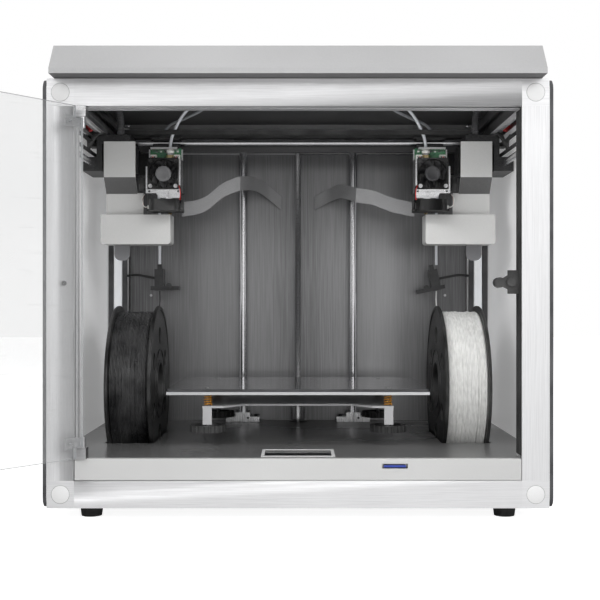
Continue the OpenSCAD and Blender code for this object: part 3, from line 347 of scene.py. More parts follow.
NODE_LOOKS = {
    "frame_profiles": "frame_x", "corner_blocks": "corner", "side_panels": "panel",
    "rear_panel": "sheet", "back_liner": "liner", "base_pan": "sheet", "deck": "deck",
    "front_fascia": "fascia", "screen": "screen_glass", "feet": "rubber",
    "electronics": "steel", "light_strips": "light", "filament_sensors": "blade",
    "cabinet_fittings": "steel", "guide_rods": "chrome", "rod_clamps": "black_metal",
    "axis_motors": "motor", "y_belts": "rubber", "y_drive_pulleys": "alloy",
    "y_idler_pulleys": "alloy", "front_door": "door", "door_hinge_leaves": "steel",
    "lid_shell": "lid", "gantry_frame": "black_metal", "x_rods": "chrome",
    "x_motors": "motor", "x_belts": "rubber", "gantry_covers": "cover",
    "left_x_pulley": "alloy", "left_x_idler": "alloy", "right_x_pulley": "alloy",
    "right_x_idler": "alloy", "tubes_and_cables": "ribbon", "bed_carriage": "sheet",
    "heated_bed": "bed_plate", "bed_glass": "bed_glass", "bed_springs": "spring",
    "knob_front_left": "black", "knob_front_right": "black", "knob_rear_left": "black",
    "knob_rear_right": "black", "z_screw": "steel", "left_spool": "spool",
    "right_spool": "spool", "left_filament": "filament_black",
    "right_filament": "filament_white", "power_switch": "switch", "sd_card": "card",
}
for side in ("left", "right"):
    NODE_LOOKS[side + "_carriage"] = "black_metal"
    NODE_LOOKS[side + "_extruder"] = "extruder"
    NODE_LOOKS[side + "_cooling"] = "black"
    NODE_LOOKS[side + "_fan_rotor"] = "hub"
    NODE_LOOKS[side + "_blower_rotor"] = "dark"
    NODE_LOOKS[side + "_drive_gear"] = "brass"


def paint(node, first, *others):
    """Gives a CAD node its looks: the first everywhere, then each other where its test holds for a face."""
    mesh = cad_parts[node].data
    mesh.materials.clear()
    mesh.materials.append(LOOKS[first])
    for index, (look, test) in enumerate(others, 1):
        mesh.materials.append(LOOKS[look])
        for face in mesh.polygons:
            if test(face.center, face.normal):
                face.material_index = index


def edge_of_door(_, normal):
    """True on the door's narrow sides."""
    across = Vector((math.sin(DOOR_ANGLE), -math.cos(DOOR_ANGLE), 0))
    return abs(normal.dot(across)) < 0.7


def extruder_tests(side):
    """Which faces of an extruder belong to which of its pieces, told by their place about the fan's axis."""
    fan = middle(side + "_fan_rotor")

    def at(test):
        return lambda c, n: test(abs(c.x - fan.x) / MM, c.y / MM, (c.z - fan.z) / MM)

    return [
        ("motor", at(lambda x, y, z: y > 14.05 and x < 21.3 and abs(z) < 21.3)),
        ("dark", at(lambda x, y, z: 0.95 < y < 12.05 and x < 20.05 and abs(z) < 19.1)),
        # The heat sink behind the fan takes the black motor look: painted shade behind the fan's blades.
        ("motor", at(lambda x, y, z: -6.85 < y < 0.95 and x < 19.95 and abs(z) < 19.95)),
        ("board", at(lambda x, y, z: 10.35 < y < 12.05 and z > 21.3)),
        ("white_plastic", at(lambda x, y, z: 3.95 < y < 10.36 and 21.5 < z < 26.7 and x > 10.9)),
        ("brass", at(lambda x, y, z: z < -44.6)),
        ("dark", at(lambda x, y, z: -44.6 < z < -33.0 and y > -0.1 and x < 17)),
        ("black", at(lambda x, y, z: x > 22.6 and z < 0)),
    ]


for node, look in NODE_LOOKS.items():
    paint(node, look)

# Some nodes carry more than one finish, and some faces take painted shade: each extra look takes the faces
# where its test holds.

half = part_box("frame_profiles")[1]
PROFILE = 30 * MM
DOOR_ANGLE = math.radians(-128)
deck_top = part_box("deck")[1].z
SCREW_Y = middle("z_screw").y
APRON_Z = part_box("left_extruder")[0].z + 17 * MM
# The upper side rails' inner faces and undersides take the dark liner look: painted shade under the lid.
paint("frame_profiles", "frame_x",
      ("frame_z", lambda c, n: abs(c.x) > half.x - PROFILE - MM and abs(c.y) > half.y - PROFILE - MM),
      ("frame_y", lambda c, n: abs(c.x) > half.x - PROFILE - MM and abs(c.y) < half.y - PROFILE - MM),
      ("liner", lambda c, n: abs(c.y) < half.y - PROFILE - MM and c.z > half.z - PROFILE
       and (n.z < -0.5 or n.x * c.x < 0)))
paint("side_panels", "panel", ("panel_core", lambda c, n: abs(n.x) < 0.5),
      ("panel_inside", lambda c, n: n.x * c.x < -0.1 * abs(c.x)))
paint("front_door", "door", ("door_edge", edge_of_door))
paint("screen", "screen_glass", ("bezel", lambda c, n: c.z > deck_top))
paint("cabinet_fittings", "steel",
      ("black", lambda c, n: c.y < 0 and (c.x > 0 or c.x < -half.x + PROFILE - 2 * MM)))
paint("rod_clamps", "black_metal", ("alloy", lambda c, n: c.z < deck_top + 20 * MM))
paint("bed_carriage", "sheet_light",
      ("dark", lambda c, n: c.y > SCREW_Y - 16 * MM))
paint("electronics", "steel", ("board", lambda c, n: c.x < 0.02 and c.y < 0.1 and c.z < 0.0107),
      ("black", lambda c, n: c.x < 0.02 and (c.y > 0.1 or c.z > 0.0107)))
# The lid's downward faces take a dark paint: painted shade under the lid's overhang, which draws the dark
# line above the frame.
paint("lid_shell", "lid", ("lid_underside_shade", lambda c, n: c.z < half.z + 33 * MM and n.z < -0.5),
      ("steel", lambda c, n: c.y > half.y + 0.02 * MM))
TRAY_Z = 299 * MM
# The sloped, downward-facing face of each motor cover takes a much darker paint: painted shade.
paint("gantry_covers", "cover", ("cover_painted_shade", lambda c, n: n.y < -0.5 and n.z < -0.1),
      ("tongue", lambda c, n: c.z < TRAY_Z - 0.1 * MM))
for side in ("left", "right"):
    paint(side + "_extruder", "extruder", *extruder_tests(side))
    paint(side + "_cooling", "black", ("blower", lambda c, n: c.z < APRON_Z))


def soften(node, width, segments=2):
    """Rounds a CAD node's sharp edges for the eye, so that they catch the light."""
    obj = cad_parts[node]
    for face in obj.data.polygons:
        face.use_smooth = True
    weld = obj.modifiers.new("weld", "WELD")
    weld.merge_threshold = 0.001 * MM
    bevel = obj.modifiers.new("edges", "BEVEL")
    bevel.width = width * MM
    bevel.segments = segments
    bevel.limit_method = "ANGLE"
    bevel.angle_limit = math.radians(32)
    bevel.use_clamp_overlap = True
    obj.modifiers.new("normals", "WEIGHTED_NORMAL").keep_sharp = True


# Rounding in mm, and the nodes that get it.
EDGES = {
    0.2: ("back_liner",),
    0.25: ("screen", "door_hinge_leaves", "left_extruder", "right_extruder", "sd_card"),
    0.3: ("rear_panel", "left_cooling", "right_cooling", "electronics", "light_strips"),
    0.35: ("cabinet_fittings",),
    0.4: ("deck", "heated_bed", "bed_glass", "bed_carriage", "rod_clamps", "gantry_frame", "power_switch"),
    0.5: ("frame_profiles", "front_fascia", "gantry_covers", "left_carriage", "right_carriage",
          "left_spool", "right_spool", "knob_front_left", "knob_front_right", "knob_rear_left",
          "knob_rear_right"),
    0.6: ("filament_sensors",),
    0.7: ("side_panels",),
    0.8: ("axis_motors", "x_motors"),
    0.9: ("corner_blocks", "lid_shell"),
    1.0: ("feet",),
}
for width, nodes in EDGES.items():
    for node in nodes:
        soften(node, width)


# ---------- mesh building ----------

class Piece:
    """One object made of one or more closed solids; each solid takes one of the object's looks."""

    def __init__(self, name, *looks, slot=None):
        self.name = name
        self.looks = looks
        self.slot = slot
        self.bm = bmesh.new()

    def skin(self, rings, look=0, closed=False):
        """Joins rings of points, each a list of equal length or one point, into a closed solid."""
        made = [[self.bm.verts.new(p) for p in ring] for ring in rings]
        pairs = list(zip(made, made[1:])) + ([(made[-1], made[0])] if closed else [])
        for a, b in pairs:
            count = max(len(a), len(b))
            for i in range(count):
                j = (i + 1) % count
                corners = [a[i % len(a)], a[j % len(a)], b[j % len(b)], b[i % len(b)]]
                unique = list(dict.fromkeys(corners))
                if len(unique) > 2:
                    self._face(unique, look)
        if not closed:
            for ring, flip in ((made[0], True), (made[-1], False)):
                if len(ring) > 2:
                    self._face(ring[::-1] if flip else ring, look)
        return self

    def _face(self, verts, look):
        face = self.bm.faces.new(verts)
        face.material_index = look
        face.smooth = True

    def box(self, low, high, look=0, bevel=0.4, turn=None):
        low, high = Vector(low), Vector(high)
        place = Matrix.Translation((low + high) / 2) @ (turn or Matrix.Identity(4))
        matrix = place @ Matrix.Diagonal((*(high - low), 1))
        made = bmesh.ops.create_cube(self.bm, size=1, matrix=matrix)["verts"]
        for face in {f for v in made for f in v.link_faces}:
            face.material_index = look
            face.smooth = True
        edges = list({e for v in made for e in v.link_edges})
        rounded = bmesh.ops.bevel(self.bm, geom=edges, offset=bevel * MM, segments=2,
                                  profile=0.6, affect="EDGES", clamp_overlap=True)
        for face in rounded["faces"]:
            face.smooth = True
        return self

    def lathe(self, centre, axis, profile, look=0, sides=24):
        """Turns (radius, height[, True for a six-sided ring]) points in mm about an axis."""
        turn = Vector(axis).to_track_quat("Z", "Y").to_matrix()
        rings = []
        for radius, height, *six in profile:
            if radius == 0:
                rings.append([Vector(centre) + turn @ Vector((0, 0, height * MM))])
                continue
            ring = []
            for i in range(sides):
                angle = 2 * math.pi * i / sides
                reach = radius * MM
                if six and six[0]:
                    reach /= math.cos(angle % (math.pi / 3) - math.pi / 6)
                flat = Vector((reach * math.cos(angle), reach * math.sin(angle), height * MM))
                ring.append(Vector(centre) + turn @ flat)
            rings.append(ring)
        return self.skin(rings, look)

    def screw(self, centre, axis, radius=2.7, look=0, height=2.2):
        """A socket screw's head, standing on its seat along the axis."""
        r, h = radius, height
        return self.lathe(centre, axis, [
            (0, -0.3), (r * 0.96, -0.3), (r, h * 0.1), (r, h * 0.72), (r * 0.9, h), (r * 0.6, h),
            (r * 0.48, h * 0.97, True), (r * 0.46, h * 0.35, True), (0, h * 0.25)], look, 18)

    def sweep(self, path, section, look=0, up=Z, closed=False):
        """Carries a section along a path; its points are (across, up) in mm, or a function of the step."""
        rings = []
        count = len(path)
        for i, point in enumerate(path):
            before = path[i - 1] if i or closed else point
            after = path[(i + 1) % count] if i + 1 < count or closed else point
            along = (after - before).normalized()
            across = along.cross(Vector(up)).normalized()
            rise = across.cross(along)
            shape = section(i) if callable(section) else section
            rings.append([point + across * a * MM + rise * b * MM for a, b in shape])
        return self.skin(rings, look, closed)

    def tube(self, path, radius, look=0, up=(0.02, 1, 0.03), sides=10):
        return self.sweep(path, circle(radius, sides), look, up)

    def done(self, body=None, replaces=()):
        bmesh.ops.recalc_face_normals(self.bm, faces=self.bm.faces)
        mesh = bpy.data.meshes.new(self.name)
        self.bm.to_mesh(mesh)
        self.bm.free()
        for look in self.looks:
            mesh.materials.append(LOOKS[look])
        mesh.set_sharp_from_angle(angle=math.radians(40))
        obj = bpy.data.objects.new(self.name, mesh)
        bpy.context.scene.collection.objects.link(obj)
        if body:
            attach(obj, body)
        if replaces:
            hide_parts(*replaces)
        return obj


def circle(radius, sides):
    return [(radius * math.cos(2 * math.pi * i / sides), radius * math.sin(2 * math.pi * i / sides))
            for i in range(sides)]


def smooth(points, steps=8):
    """A smooth path through points given in mm."""
    points = [Vector(p) * MM for p in points]
    padded = [2 * points[0] - points[1], *points, 2 * points[-1] - points[-2]]
    path = []
    for a, b, c, d in zip(padded, padded[1:], padded[2:], padded[3:]):
        for i in range(steps):
            t = i / steps
            path.append(0.5 * (2 * b + (c - a) * t + (2 * a - 5 * b + 4 * c - d) * t * t
                               + (3 * b - a - 3 * c + d) * t ** 3))
    return path + [points[-1]]


def flip(side, point):
    """Points are given for the right side; the left side is their mirror image."""
    return Vector((point[0] * side, point[1], point[2]))


SIDES = {"left": -1, "right": 1}


# ---------- spools and filament ----------

STRAND = 1.75                    # diameter of the filament
FILAMENT = {"left": "filament_black", "right": "filament_white"}


def build_winding(side):
    """Wound filament: rows of strands round the hub, each with its own small waver."""
    centre, ring = middle(side + "_spool"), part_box(side + "_filament")
    outer = (ring[1].z - ring[0].z) / 2 / MM
    width = (ring[1].x - ring[0].x) / MM
    rows = int(width / STRAND)
    around, per_row = 120, 5
    waver = [(random.uniform(0, 6.28), random.uniform(0.05, 0.28), random.uniform(-1.3, 0.3))
             for _ in range(rows)]
    piece = Piece(side + "_winding", FILAMENT[side], slot=FILAMENT[side])
    inner = 40.3                 # just clear of the spool's hub
    edge = width / 2 - 0.05
    rings = [[(inner, -edge)] * around, [(outer - 1.5, -edge)] * around]
    for row in range(rows):
        phase, sway, lift = waver[row]
        for k in range(per_row):
            bow = math.sin(math.pi * (k + 0.5) / per_row)
            line = []
            for i in range(around):
                angle = 2 * math.pi * i / around
                drift = sway * math.sin(angle * 2 + phase) + 0.35 * math.sin(angle + row * 0.4)
                place = (row + (k + 0.5) / per_row - rows / 2) * STRAND * 0.97 + drift * 0.6
                place = max(-edge, min(edge, place))
                line.append((outer - 0.9 + lift * 0.5 + 0.75 * bow, place))
            rings.append(line)
    rings += [[(outer - 1.5, edge)] * around, [(inner, edge)] * around]
    solid = []
    for line in rings:
        solid.append([centre + Vector((place * MM, radius * MM * math.cos(2 * math.pi * i / around),
                                       radius * MM * math.sin(2 * math.pi * i / around)))
                      for i, (radius, place) in enumerate(line)])
    piece.skin(solid, closed=True)
    piece.done(side + "_reel", replaces=[side + "_filament"])


def build_spool_rims(side):
    """Raised rims and a hub ring on each flange's outer face."""
    low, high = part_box(side + "_spool")
    centre = (low + high) / 2
    piece = Piece(side + "_spool_rims", "spool", slot="spool_black")
    for face, way in ((low.x, -X), (high.x, X)):
        seat = Vector((face, centre.y, centre.z))
        for inner, outer in ((94.5, 99.2), (27, 31), (43, 45)):
            ring = [(inner, -0.3), (inner + 0.3, 0.9), (outer - 0.4, 0.9), (outer, 0.4), (outer, -0.3)]
            turn = way.to_track_quat("Z", "Y").to_matrix()
            piece.skin([[seat + turn @ Vector((r * MM * math.cos(a), r * MM * math.sin(a), h * MM))
                         for r, h in ring] for a in [2 * math.pi * i / 72 for i in range(72)]],
                       closed=True)
    piece.done(side + "_reel")


# ---------- flexible lines ----------

SENSOR = Vector((196, 145, 242))
PARK = abs(middle("left_fan_rotor").x) / MM
FAN_Z = middle("left_fan_rotor").z / MM
FITTING = Vector((PARK - 6.4, 6, FAN_Z + 29.5))
CREST = Vector((PARK - 42, -14, 482))
RIBBON_TOP = {"left": Vector((78, 62, 384.6)), "right": Vector((78, 62, 368.6))}


def build_guide_tubes():
    for side, way in SIDES.items():
        rise = smooth([flip(way, p) for p in (
            FITTING, FITTING + Vector((-0.6, -0.4, 12)), (160.4, 3.3, 442.3), (148.7, -4.6, 462.3), CREST)])
        piece = Piece(side + "_guide_tube_front", "tube", slot="cable_grey")
        piece.tube(rise, 2)
        front = piece.done()
        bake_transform(front)
        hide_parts("tubes_and_cables")
        sink = smooth([flip(way, p) for p in (
            CREST, CREST + Vector((-9, 10, 1.2)), (PARK - 45, 45, 481), (PARK - 20, 82, 476),
            (PARK + 14, 130, 468), (SENSOR.x + 4, 150, 426), (SENSOR.x, SENSOR.y, 350),
            SENSOR + Vector((0, 0, 36)))])
        piece = Piece(side + "_guide_tube_rear", "tube", slot="cable_grey")
        piece.tube(sink, 2)
        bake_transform(piece.done())


def build_strands():
    """The filament from each spool's rear edge up to its sensor."""
    for side, way in SIDES.items():
        spool = middle(side + "_spool") / MM
        radius = (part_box(side + "_filament")[1].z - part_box(side + "_filament")[0].z) / 2 / MM + 0.7
        leave = math.radians(18)
        start = Vector((abs(spool.x), spool.y + radius * math.cos(leave), spool.z - radius * math.sin(leave)))
        path = smooth([flip(way, p) for p in (
            start, start + Vector((0, 14, 34)), start + Vector((-4, 34, 84)),
            SENSOR + Vector((0, -2, -22)), SENSOR + Vector((0, 0, -1)))])
        piece = Piece(side + "_filament_strand", FILAMENT[side], slot=FILAMENT[side])
        piece.tube(path, STRAND / 2, sides=8)
        piece.done("cabinet")


def flat_section(width, thick):
    return [(x * width / 2, y * thick / 2) for x, y in ((-1, -1), (1, -1), (1, 1), (-1, 1))]


def build_ribbons():
    """Flat cables: from the back wall to the gantry, and on from there to each extruder."""
    for side, way in SIDES.items():
        top = RIBBON_TOP[side]
        rise = 1 if side == "left" else 0
        wall = (24, 181.5, FAN_Z - 20)
        first = smooth([flip(way, p) for p in (
            wall, (44, 160, FAN_Z - 11 + 6 * rise), (60, 116, FAN_Z - 9 + 10 * rise), top)], 10)
        second = smooth([flip(way, p) for p in (
            top, (100, 55, FAN_Z - 24 + 10 * rise), (126, 52, FAN_Z - 34), (PARK - 17, 51, FAN_Z - 40))], 10)
        near, far = Piece(side + "_ribbon_front", "ribbon"), Piece(side + "_ribbon_rear", "ribbon")
        for piece, path in ((far, first), (near, second)):
            piece.slot = "cable_grey"
            for k in range(9):
                lane = (k - 4) * 2.12
                piece.sweep([p + Z * lane * MM for p in path], flat_section(2.0, 1.0), up=(0, 1, 0.01))
        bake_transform(far.done())
        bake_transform(near.done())


def build_sensor_cables():
    for side, way in SIDES.items():
        piece = Piece(side + "_sensor_cable", "black", "steel", slot="black_plastic")
        path = smooth([flip(way, p) for p in (
            SENSOR + Vector((4, 0, 17)), SENSOR + Vector((16, 2, 19)), SENSOR + Vector((32, 6, 22)),
            (SENSOR.x + 47, SENSOR.y + 6, SENSOR.z + 21))])
        piece.tube(path, 1.7, up=(0.02, 1, 0.03))
        seat = flip(way, SENSOR + Vector((11, -9.5, -7))) * MM
        piece.screw(seat, -Y, 1.8, 1, 0.8)
        piece.done("cabinet")


def build_sleeves():
    """Corrugated hoses from the gantry's ends to the front of the side rails."""
    motor_x = abs(middle("x_motors").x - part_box("x_motors")[1].x) / MM - 17.6
    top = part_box("gantry_frame")[1].z / MM - 11
    for side, way in SIDES.items():
        path = smooth([flip(way, p) for p in (
            (motor_x, -9, top), (motor_x, -11, top + 20), (motor_x + 3, -30, top + 36),
            (motor_x + 8, -80, top + 36), (motor_x + 12, -130, top + 26),
            (motor_x + 13, -162, top + 14))], 14)
        piece = Piece(side + "_hose", "dark", slot="black_plastic")
        piece.sweep(path, lambda i: circle(4.6 + (0.45 if i % 2 else -0.45), 12), up=(1, 0.02, 0.03))
        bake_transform(piece.done())
        clip = Piece(side + "_hose_clip", "black", slot="black_plastic")
        end = path[-1]
        clip.box(end + Vector((-0.007, -0.006, -0.007)), end + Vector((0.007, 0.006, 0.007)), bevel=1.5)
        clip.done("cabinet")


# ---------- belts, screw, springs and fans ----------

BELT = 6.0                       # width of a belt
BELT_OUTSIDE = 7.316             # outside radius of a belt where it bends round a pulley
TOOTH_PITCH = 2.0
COIL, WIRE = 4.4, 0.75           # radius of a spring's coil and of its wire
SPRING_LOW, SPRING_HIGH = 0.10145, 0.11395
FAN_FRONT, FAN_BLADES = -16.0, 7


def racetrack(length, radius, count):
    """Points and outward directions, in mm, along a belt about two equal pulleys."""
    total = 2 * length + 2 * math.pi * radius
    points = []
    for i in range(count):
        s = total * i / count
        if s < length:
            points.append((s, -radius, 0, -1))
        elif s < length + math.pi * radius:
            a = (s - length) / radius - math.pi / 2
            points.append((length + radius * math.cos(a), radius * math.sin(a), math.cos(a), math.sin(a)))
        elif s < 2 * length + math.pi * radius:
            points.append((2 * length + math.pi * radius - s, radius, 0, 1))
        else:
            a = (s - 2 * length - math.pi * radius) / radius + math.pi / 2
            points.append((radius * math.cos(a), radius * math.sin(a), math.cos(a), math.sin(a)))
    return points


def toothed(piece, start, run, out, across, length, inner, outer):
    """A toothed belt: run and out span its plane, and across is its width direction."""
    middle_r = inner + 0.6
    count = 4 * int((2 * length + 2 * math.pi * middle_r) / TOOTH_PITCH)
    rings = []
    for i, (a, b, da, db) in enumerate(racetrack(length, middle_r, count)):
        depth = 0.55 if i % 4 in (0, 1) else 0.0
        ring = []
        for offset, side in ((-depth, -1), (-depth, 1), (outer - middle_r, 1), (outer - middle_r, -1)):
            flat = run * (a + da * offset) + out * (b + db * offset)
            ring.append(start + (flat + across * side * BELT / 2) * MM)
        rings.append(ring)
    piece.skin(rings, closed=True)


def build_belts():
    low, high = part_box("x_belts")
    z = (low.z + high.z) / 2
    radius = BELT_OUTSIDE
    reach = (high.x - low.x) / MM / 2 - radius
    piece = Piece("x_drive_belts", "rubber", slot="belt_rubber")
    for y in (low.y + radius * MM, high.y - radius * MM):
        toothed(piece, Vector((-reach * MM, y, z)), X, Y, Z, 2 * reach, radius - 1.2, radius)
    piece.done("gantry", replaces=["x_belts"])
    low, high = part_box("y_belts")
    z = (low.z + high.z) / 2
    piece = Piece("y_drive_belts", "rubber", slot="belt_rubber")
    for x in (low.x + BELT / 2 * MM, high.x - BELT / 2 * MM):
        toothed(piece, Vector((x, low.y + radius * MM, z)), Y, Z, X,
                (high.y - low.y) / MM - 2 * radius, radius - 1.2, radius)
    piece.done("cabinet", replaces=["y_belts"])


def build_screw():
    """Four-start lead screw with its coupling."""
    low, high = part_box("z_screw")
    centre = Vector(((low.x + high.x) / 2, (low.y + high.y) / 2, 0))
    start, end = low.z / MM + 28, high.z / MM
    lead, starts, sides = 8.0, 4, 16
    rings = []
    steps = int((end - start) / 0.5)
    for k in range(steps + 1):
        z = start + (end - start) * k / steps
        ring = []
        for i in range(sides):
            angle = 2 * math.pi * i / sides
            share = (starts * (z / lead - i / sides)) % 1
            reach = 3.35 + 0.62 * min(1, max(0, 2.2 - abs(share - 0.5) * 6))
            ring.append(centre + Vector((reach * math.cos(angle), reach * math.sin(angle), z)) * MM)
        rings.append(ring)
    piece = Piece("lead_screw", "steel", "alloy", slot="brass_screw")
    piece.skin(rings)
    foot, deck = low.z / MM, deck_top / MM
    piece.lathe(centre, Z, [
        (0, foot), (2.5, foot), (2.5, deck + 4), (9.0, deck + 4), (9.5, deck + 4.5), (9.5, deck + 12),
        (8.9, deck + 12.3), (8.9, deck + 13.5), (9.5, deck + 13.8), (9.5, deck + 21.5), (9.0, deck + 22),
        (0, deck + 22)], 1, 28)
    for z in (8, 18):
        seat = Vector((centre.x, centre.y - 9.4 * MM, deck_top + z * MM))
        piece.screw(seat, -Y, 1.6, 1, 0.4)
    piece.done("screw", replaces=["z_screw"])


def build_springs():
    """Coil springs and their levelling screws between the bed carriage and the bed."""
    low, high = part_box("bed_springs")
    reach = (COIL + WIRE) * MM
    piece = Piece("levelling_springs", "spring", "steel", slot="spring_orange")
    for x in (low.x + reach, high.x - reach):
        for y in (low.y + reach, high.y - reach):
            path = []
            for i in range(101):
                angle = 2 * math.pi * i / 20
                climb = min(max(i * 0.0116 - 0.08, 0), 1)
                path.append(Vector((x + COIL * MM * math.cos(angle), y + COIL * MM * math.sin(angle),
                                    SPRING_LOW + (SPRING_HIGH - SPRING_LOW) * climb)))
            piece.tube(path, WIRE, 0, up=(0, 0, 1), sides=8)
            steps = int((high.z - low.z) / (0.35 * MM))
            thread = [[Vector((x + a * MM, y + b * MM, low.z + k * 0.35 * MM))
                       for a, b in circle(1.75 + 0.25 * (k % 2), 12)] for k in range(steps)]
            piece.skin(thread, 1)
    piece.done("bed", replaces=["bed_springs"])


def build_fans():
    """Fan rotors with a domed hub and curved, pitched blades."""
    for side in SIDES:
        centre = middle(side + "_fan_rotor")
        centre.y = FAN_FRONT * MM
        look = "hub" if side == "left" else "dark"
        piece = Piece(side + "_fan_blades", look, "blade", slot="fan_black")
        piece.lathe(centre, -Y, [(0, -7), (9.7, -7), (10, -6.5), (10, -0.8), (9.4, -0.1), (7, 0.1),
                                 (6.7, -0.15), (0, -0.2)], 0, 36)
        for blade in range(FAN_BLADES):
            rings = []
            for k in range(7):
                r = 9.6 + 7.9 * k / 6
                angle = 2 * math.pi * blade / FAN_BLADES + 0.34 * (k / 6) ** 1.3
                pitch = math.radians(48 - 14 * k / 6)
                out = Vector((math.cos(angle), 0, math.sin(angle)))
                turn = Vector((-math.sin(angle), 0, math.cos(angle)))
                chord = turn * math.cos(pitch) + Y * math.sin(pitch)
                thick = turn * -math.sin(pitch) + Y * math.cos(pitch)
                ring = []
                for a, b in ((-1, -0.15), (-0.4, 0.25), (0.4, 0.35), (1, 0.1), (1, -0.1), (0.4, -0.4),
                             (-0.4, -0.5), (-1, -0.35)):
                    ring.append(centre + (out * r + Y * 3.6 + chord * a * 4.3 + thick * b * 1.1) * MM)
                rings.append(ring)
            piece.skin(rings, 1)
        piece.done(side + "_fan", replaces=[side + "_fan_rotor"])


# ---------- small parts on the extruders ----------

def build_extruder_details():
    for side, way in SIDES.items():
        def place(x, y, z):
            return Vector((way * (PARK + x), y, FAN_Z + z))

        def at(x, y, z):
            return place(x, y, z) * MM
        piece = Piece(side + "_head_details", "steel", "white_plastic", "brass", "red_wire", "black",
                      "board", "dark", slot="extruder_metal")
        for x in (-16, 16):
            piece.screw(at(x, -17.0, 16), -Y, 2.6, 4, 1.6)
            piece.screw(at(x, -18.2, -16), -Y, 2.7, 0, 1.8)
        piece.lathe(at(-6.4, 6, 30.4), Z, [(2.15, -2), (5.0, -2), (5.2, -1.4), (5.2, 1.0), (3.6, 2.2),
                                           (3.4, 4.0), (2.15, 4.1)], 1, 24)
        piece.lathe(at(-6.4, 6, 21.5), Z, [(0, 0), (5.0, 0, True), (5.0, 4.5, True), (0, 4.5)], 2, 24)
        for x in (-18, 12):
            for k in range(3):
                foot = x + 1 + 2.3 * k
                piece.screw(at(foot, 6.4, 26.5), Z, 0.95, 0, 0.5)
                wire = smooth([place(foot, 4.0, 24), place(foot, 1.0, 23.6),
                               place(foot + 0.5, -0.2, 21.4), place(foot + 0.5, 1.2, 19.5)], 5)
                piece.tube(wire, 0.6, 3 if k == 1 else 4, up=(1, 0.02, 0), sides=6)
        for k in range(6):
            piece.box(at(-17 + 5.4 * k, 9.6, 30.4), at(-14.2 + 5.4 * k, 10.45, 32.6), 6 if k % 2 else 1, 0.12)
        inner = [(-19.6, -16.2, -15), (-21.5, -18.4, -20), (-22.2, -19.2, -27), (-21.6, -18.6, -33.5),
                 (-20.6, -17.6, -37.5)]
        for k in range(2):
            path = smooth([place(x - 1.3 * k, y - 0.4 * k, z) for x, y, z in inner], 6)
            piece.tube(path, 0.65, 3 if k == 0 else 4, up=(1, 0.02, 0), sides=8)
        outer = [(16.5, -12.5, -41.2), (23, -14, -42.5), (26.5, -13, -38), (27.6, -7, -31), (25.6, -1, -25)]
        for k in range(2):
            path = smooth([place(x, y - 1.3 * k, z) for x, y, z in outer], 6)
            piece.tube(path, 0.6, 1 if k else 3, up=(0.02, 1, 0), sides=8)
        piece.box(at(14.8, -20, -45.5), at(19.4, -13, -40.4), 1, 0.4)
        ribs = [(3.9, -0.2), (5.2, 0.2)]
        for k in range(9):
            ribs += [(5.25, 0.6 + k * 0.8), (4.85, 0.9 + k * 0.8)]
        ribs += [(5.2, 7.9), (3.9, 8.3)]
        piece.lathe(at(27.5, -5, -13), Z, [(0, -0.2), *ribs, (0, 8.3)], 4, 32)
        for z in (-24, -28.5):
            piece.screw(at(-6.4, -17.0, z), -Y, 1.5, 0, 0.8)
        for x, z in ((-19.2, -22.6), (17.5, -22.6)):
            piece.screw(at(x, -17.0, z), -Y, 1.3, 4, 0.6)
        for x in (-15.5, 15.5):
            for z in (-15.5, 15.5):
                piece.screw(at(x, 48.0, z), Y, 1.9, 0, 0.5)
        piece.done(side + "_head")


# ---------- cabinet hardware ----------

def build_strip_shade():
    """Dark strips on both sides of each light strip: painted shade beside them."""
    low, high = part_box("light_strips")
    piece = Piece("light_strip_shade", "dark", slot="black_plastic")
    for way in (-1, 1):
        for a, b in ((246.5, 253.4), (266.6, 273.5)):
            ends = sorted((way * a * MM, way * b * MM))
            piece.box((ends[0], low.y + 0.0004, low.z), (ends[1], low.y + 0.0016, high.z), 0, 0.2)
    piece.done("cabinet")


def build_seal():
    """Black seal on the right upright's inner face, where the door closes; its dark strip is also painted
    shade along the door's edge.
    """
    lo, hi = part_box("frame_profiles")
    top, face = hi.z - PROFILE, hi.x - PROFILE
    piece = Piece("door_seal", "rubber", slot="black_rubber")
    piece.box((face - 0.9 * MM, lo.y + 3 * MM, deck_top + 3 * MM),
              (face, lo.y + 28 * MM, top - 2 * MM), 0, 0.3)
    for y in (6, 14, 22):
        heights = (deck_top + 4 * MM, 0.25, top - 3 * MM)
        piece.tube([Vector((face - 1.0 * MM, lo.y + y * MM, z)) for z in heights], 0.8, sides=8)
    piece.done("cabinet")


def build_corner_caps():
    """Round inlaid caps with a fine groove on the front and rear faces of the corner blocks."""
    lo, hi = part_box("frame_profiles")
    piece = Piece("corner_caps", "cap", "cap_groove", slot="corner_aluminium")
    for x in (lo.x + 0.015, hi.x - 0.015):
        for z in (lo.z + 0.015, hi.z - 0.015):
            for y, way in ((lo.y, -Y), (hi.y, Y)):
                seat = Vector((x, y, z))
                piece.lathe(seat, way, [(0, -0.3), (9.6, -0.3), (9.6, 0.35), (9.3, 0.5), (0, 0.55)], 0, 48)
                piece.lathe(seat, way, [(0, -0.4), (10.2, -0.4), (10.2, 0.12), (0, 0.12)], 1, 48)
    piece.done("cabinet")


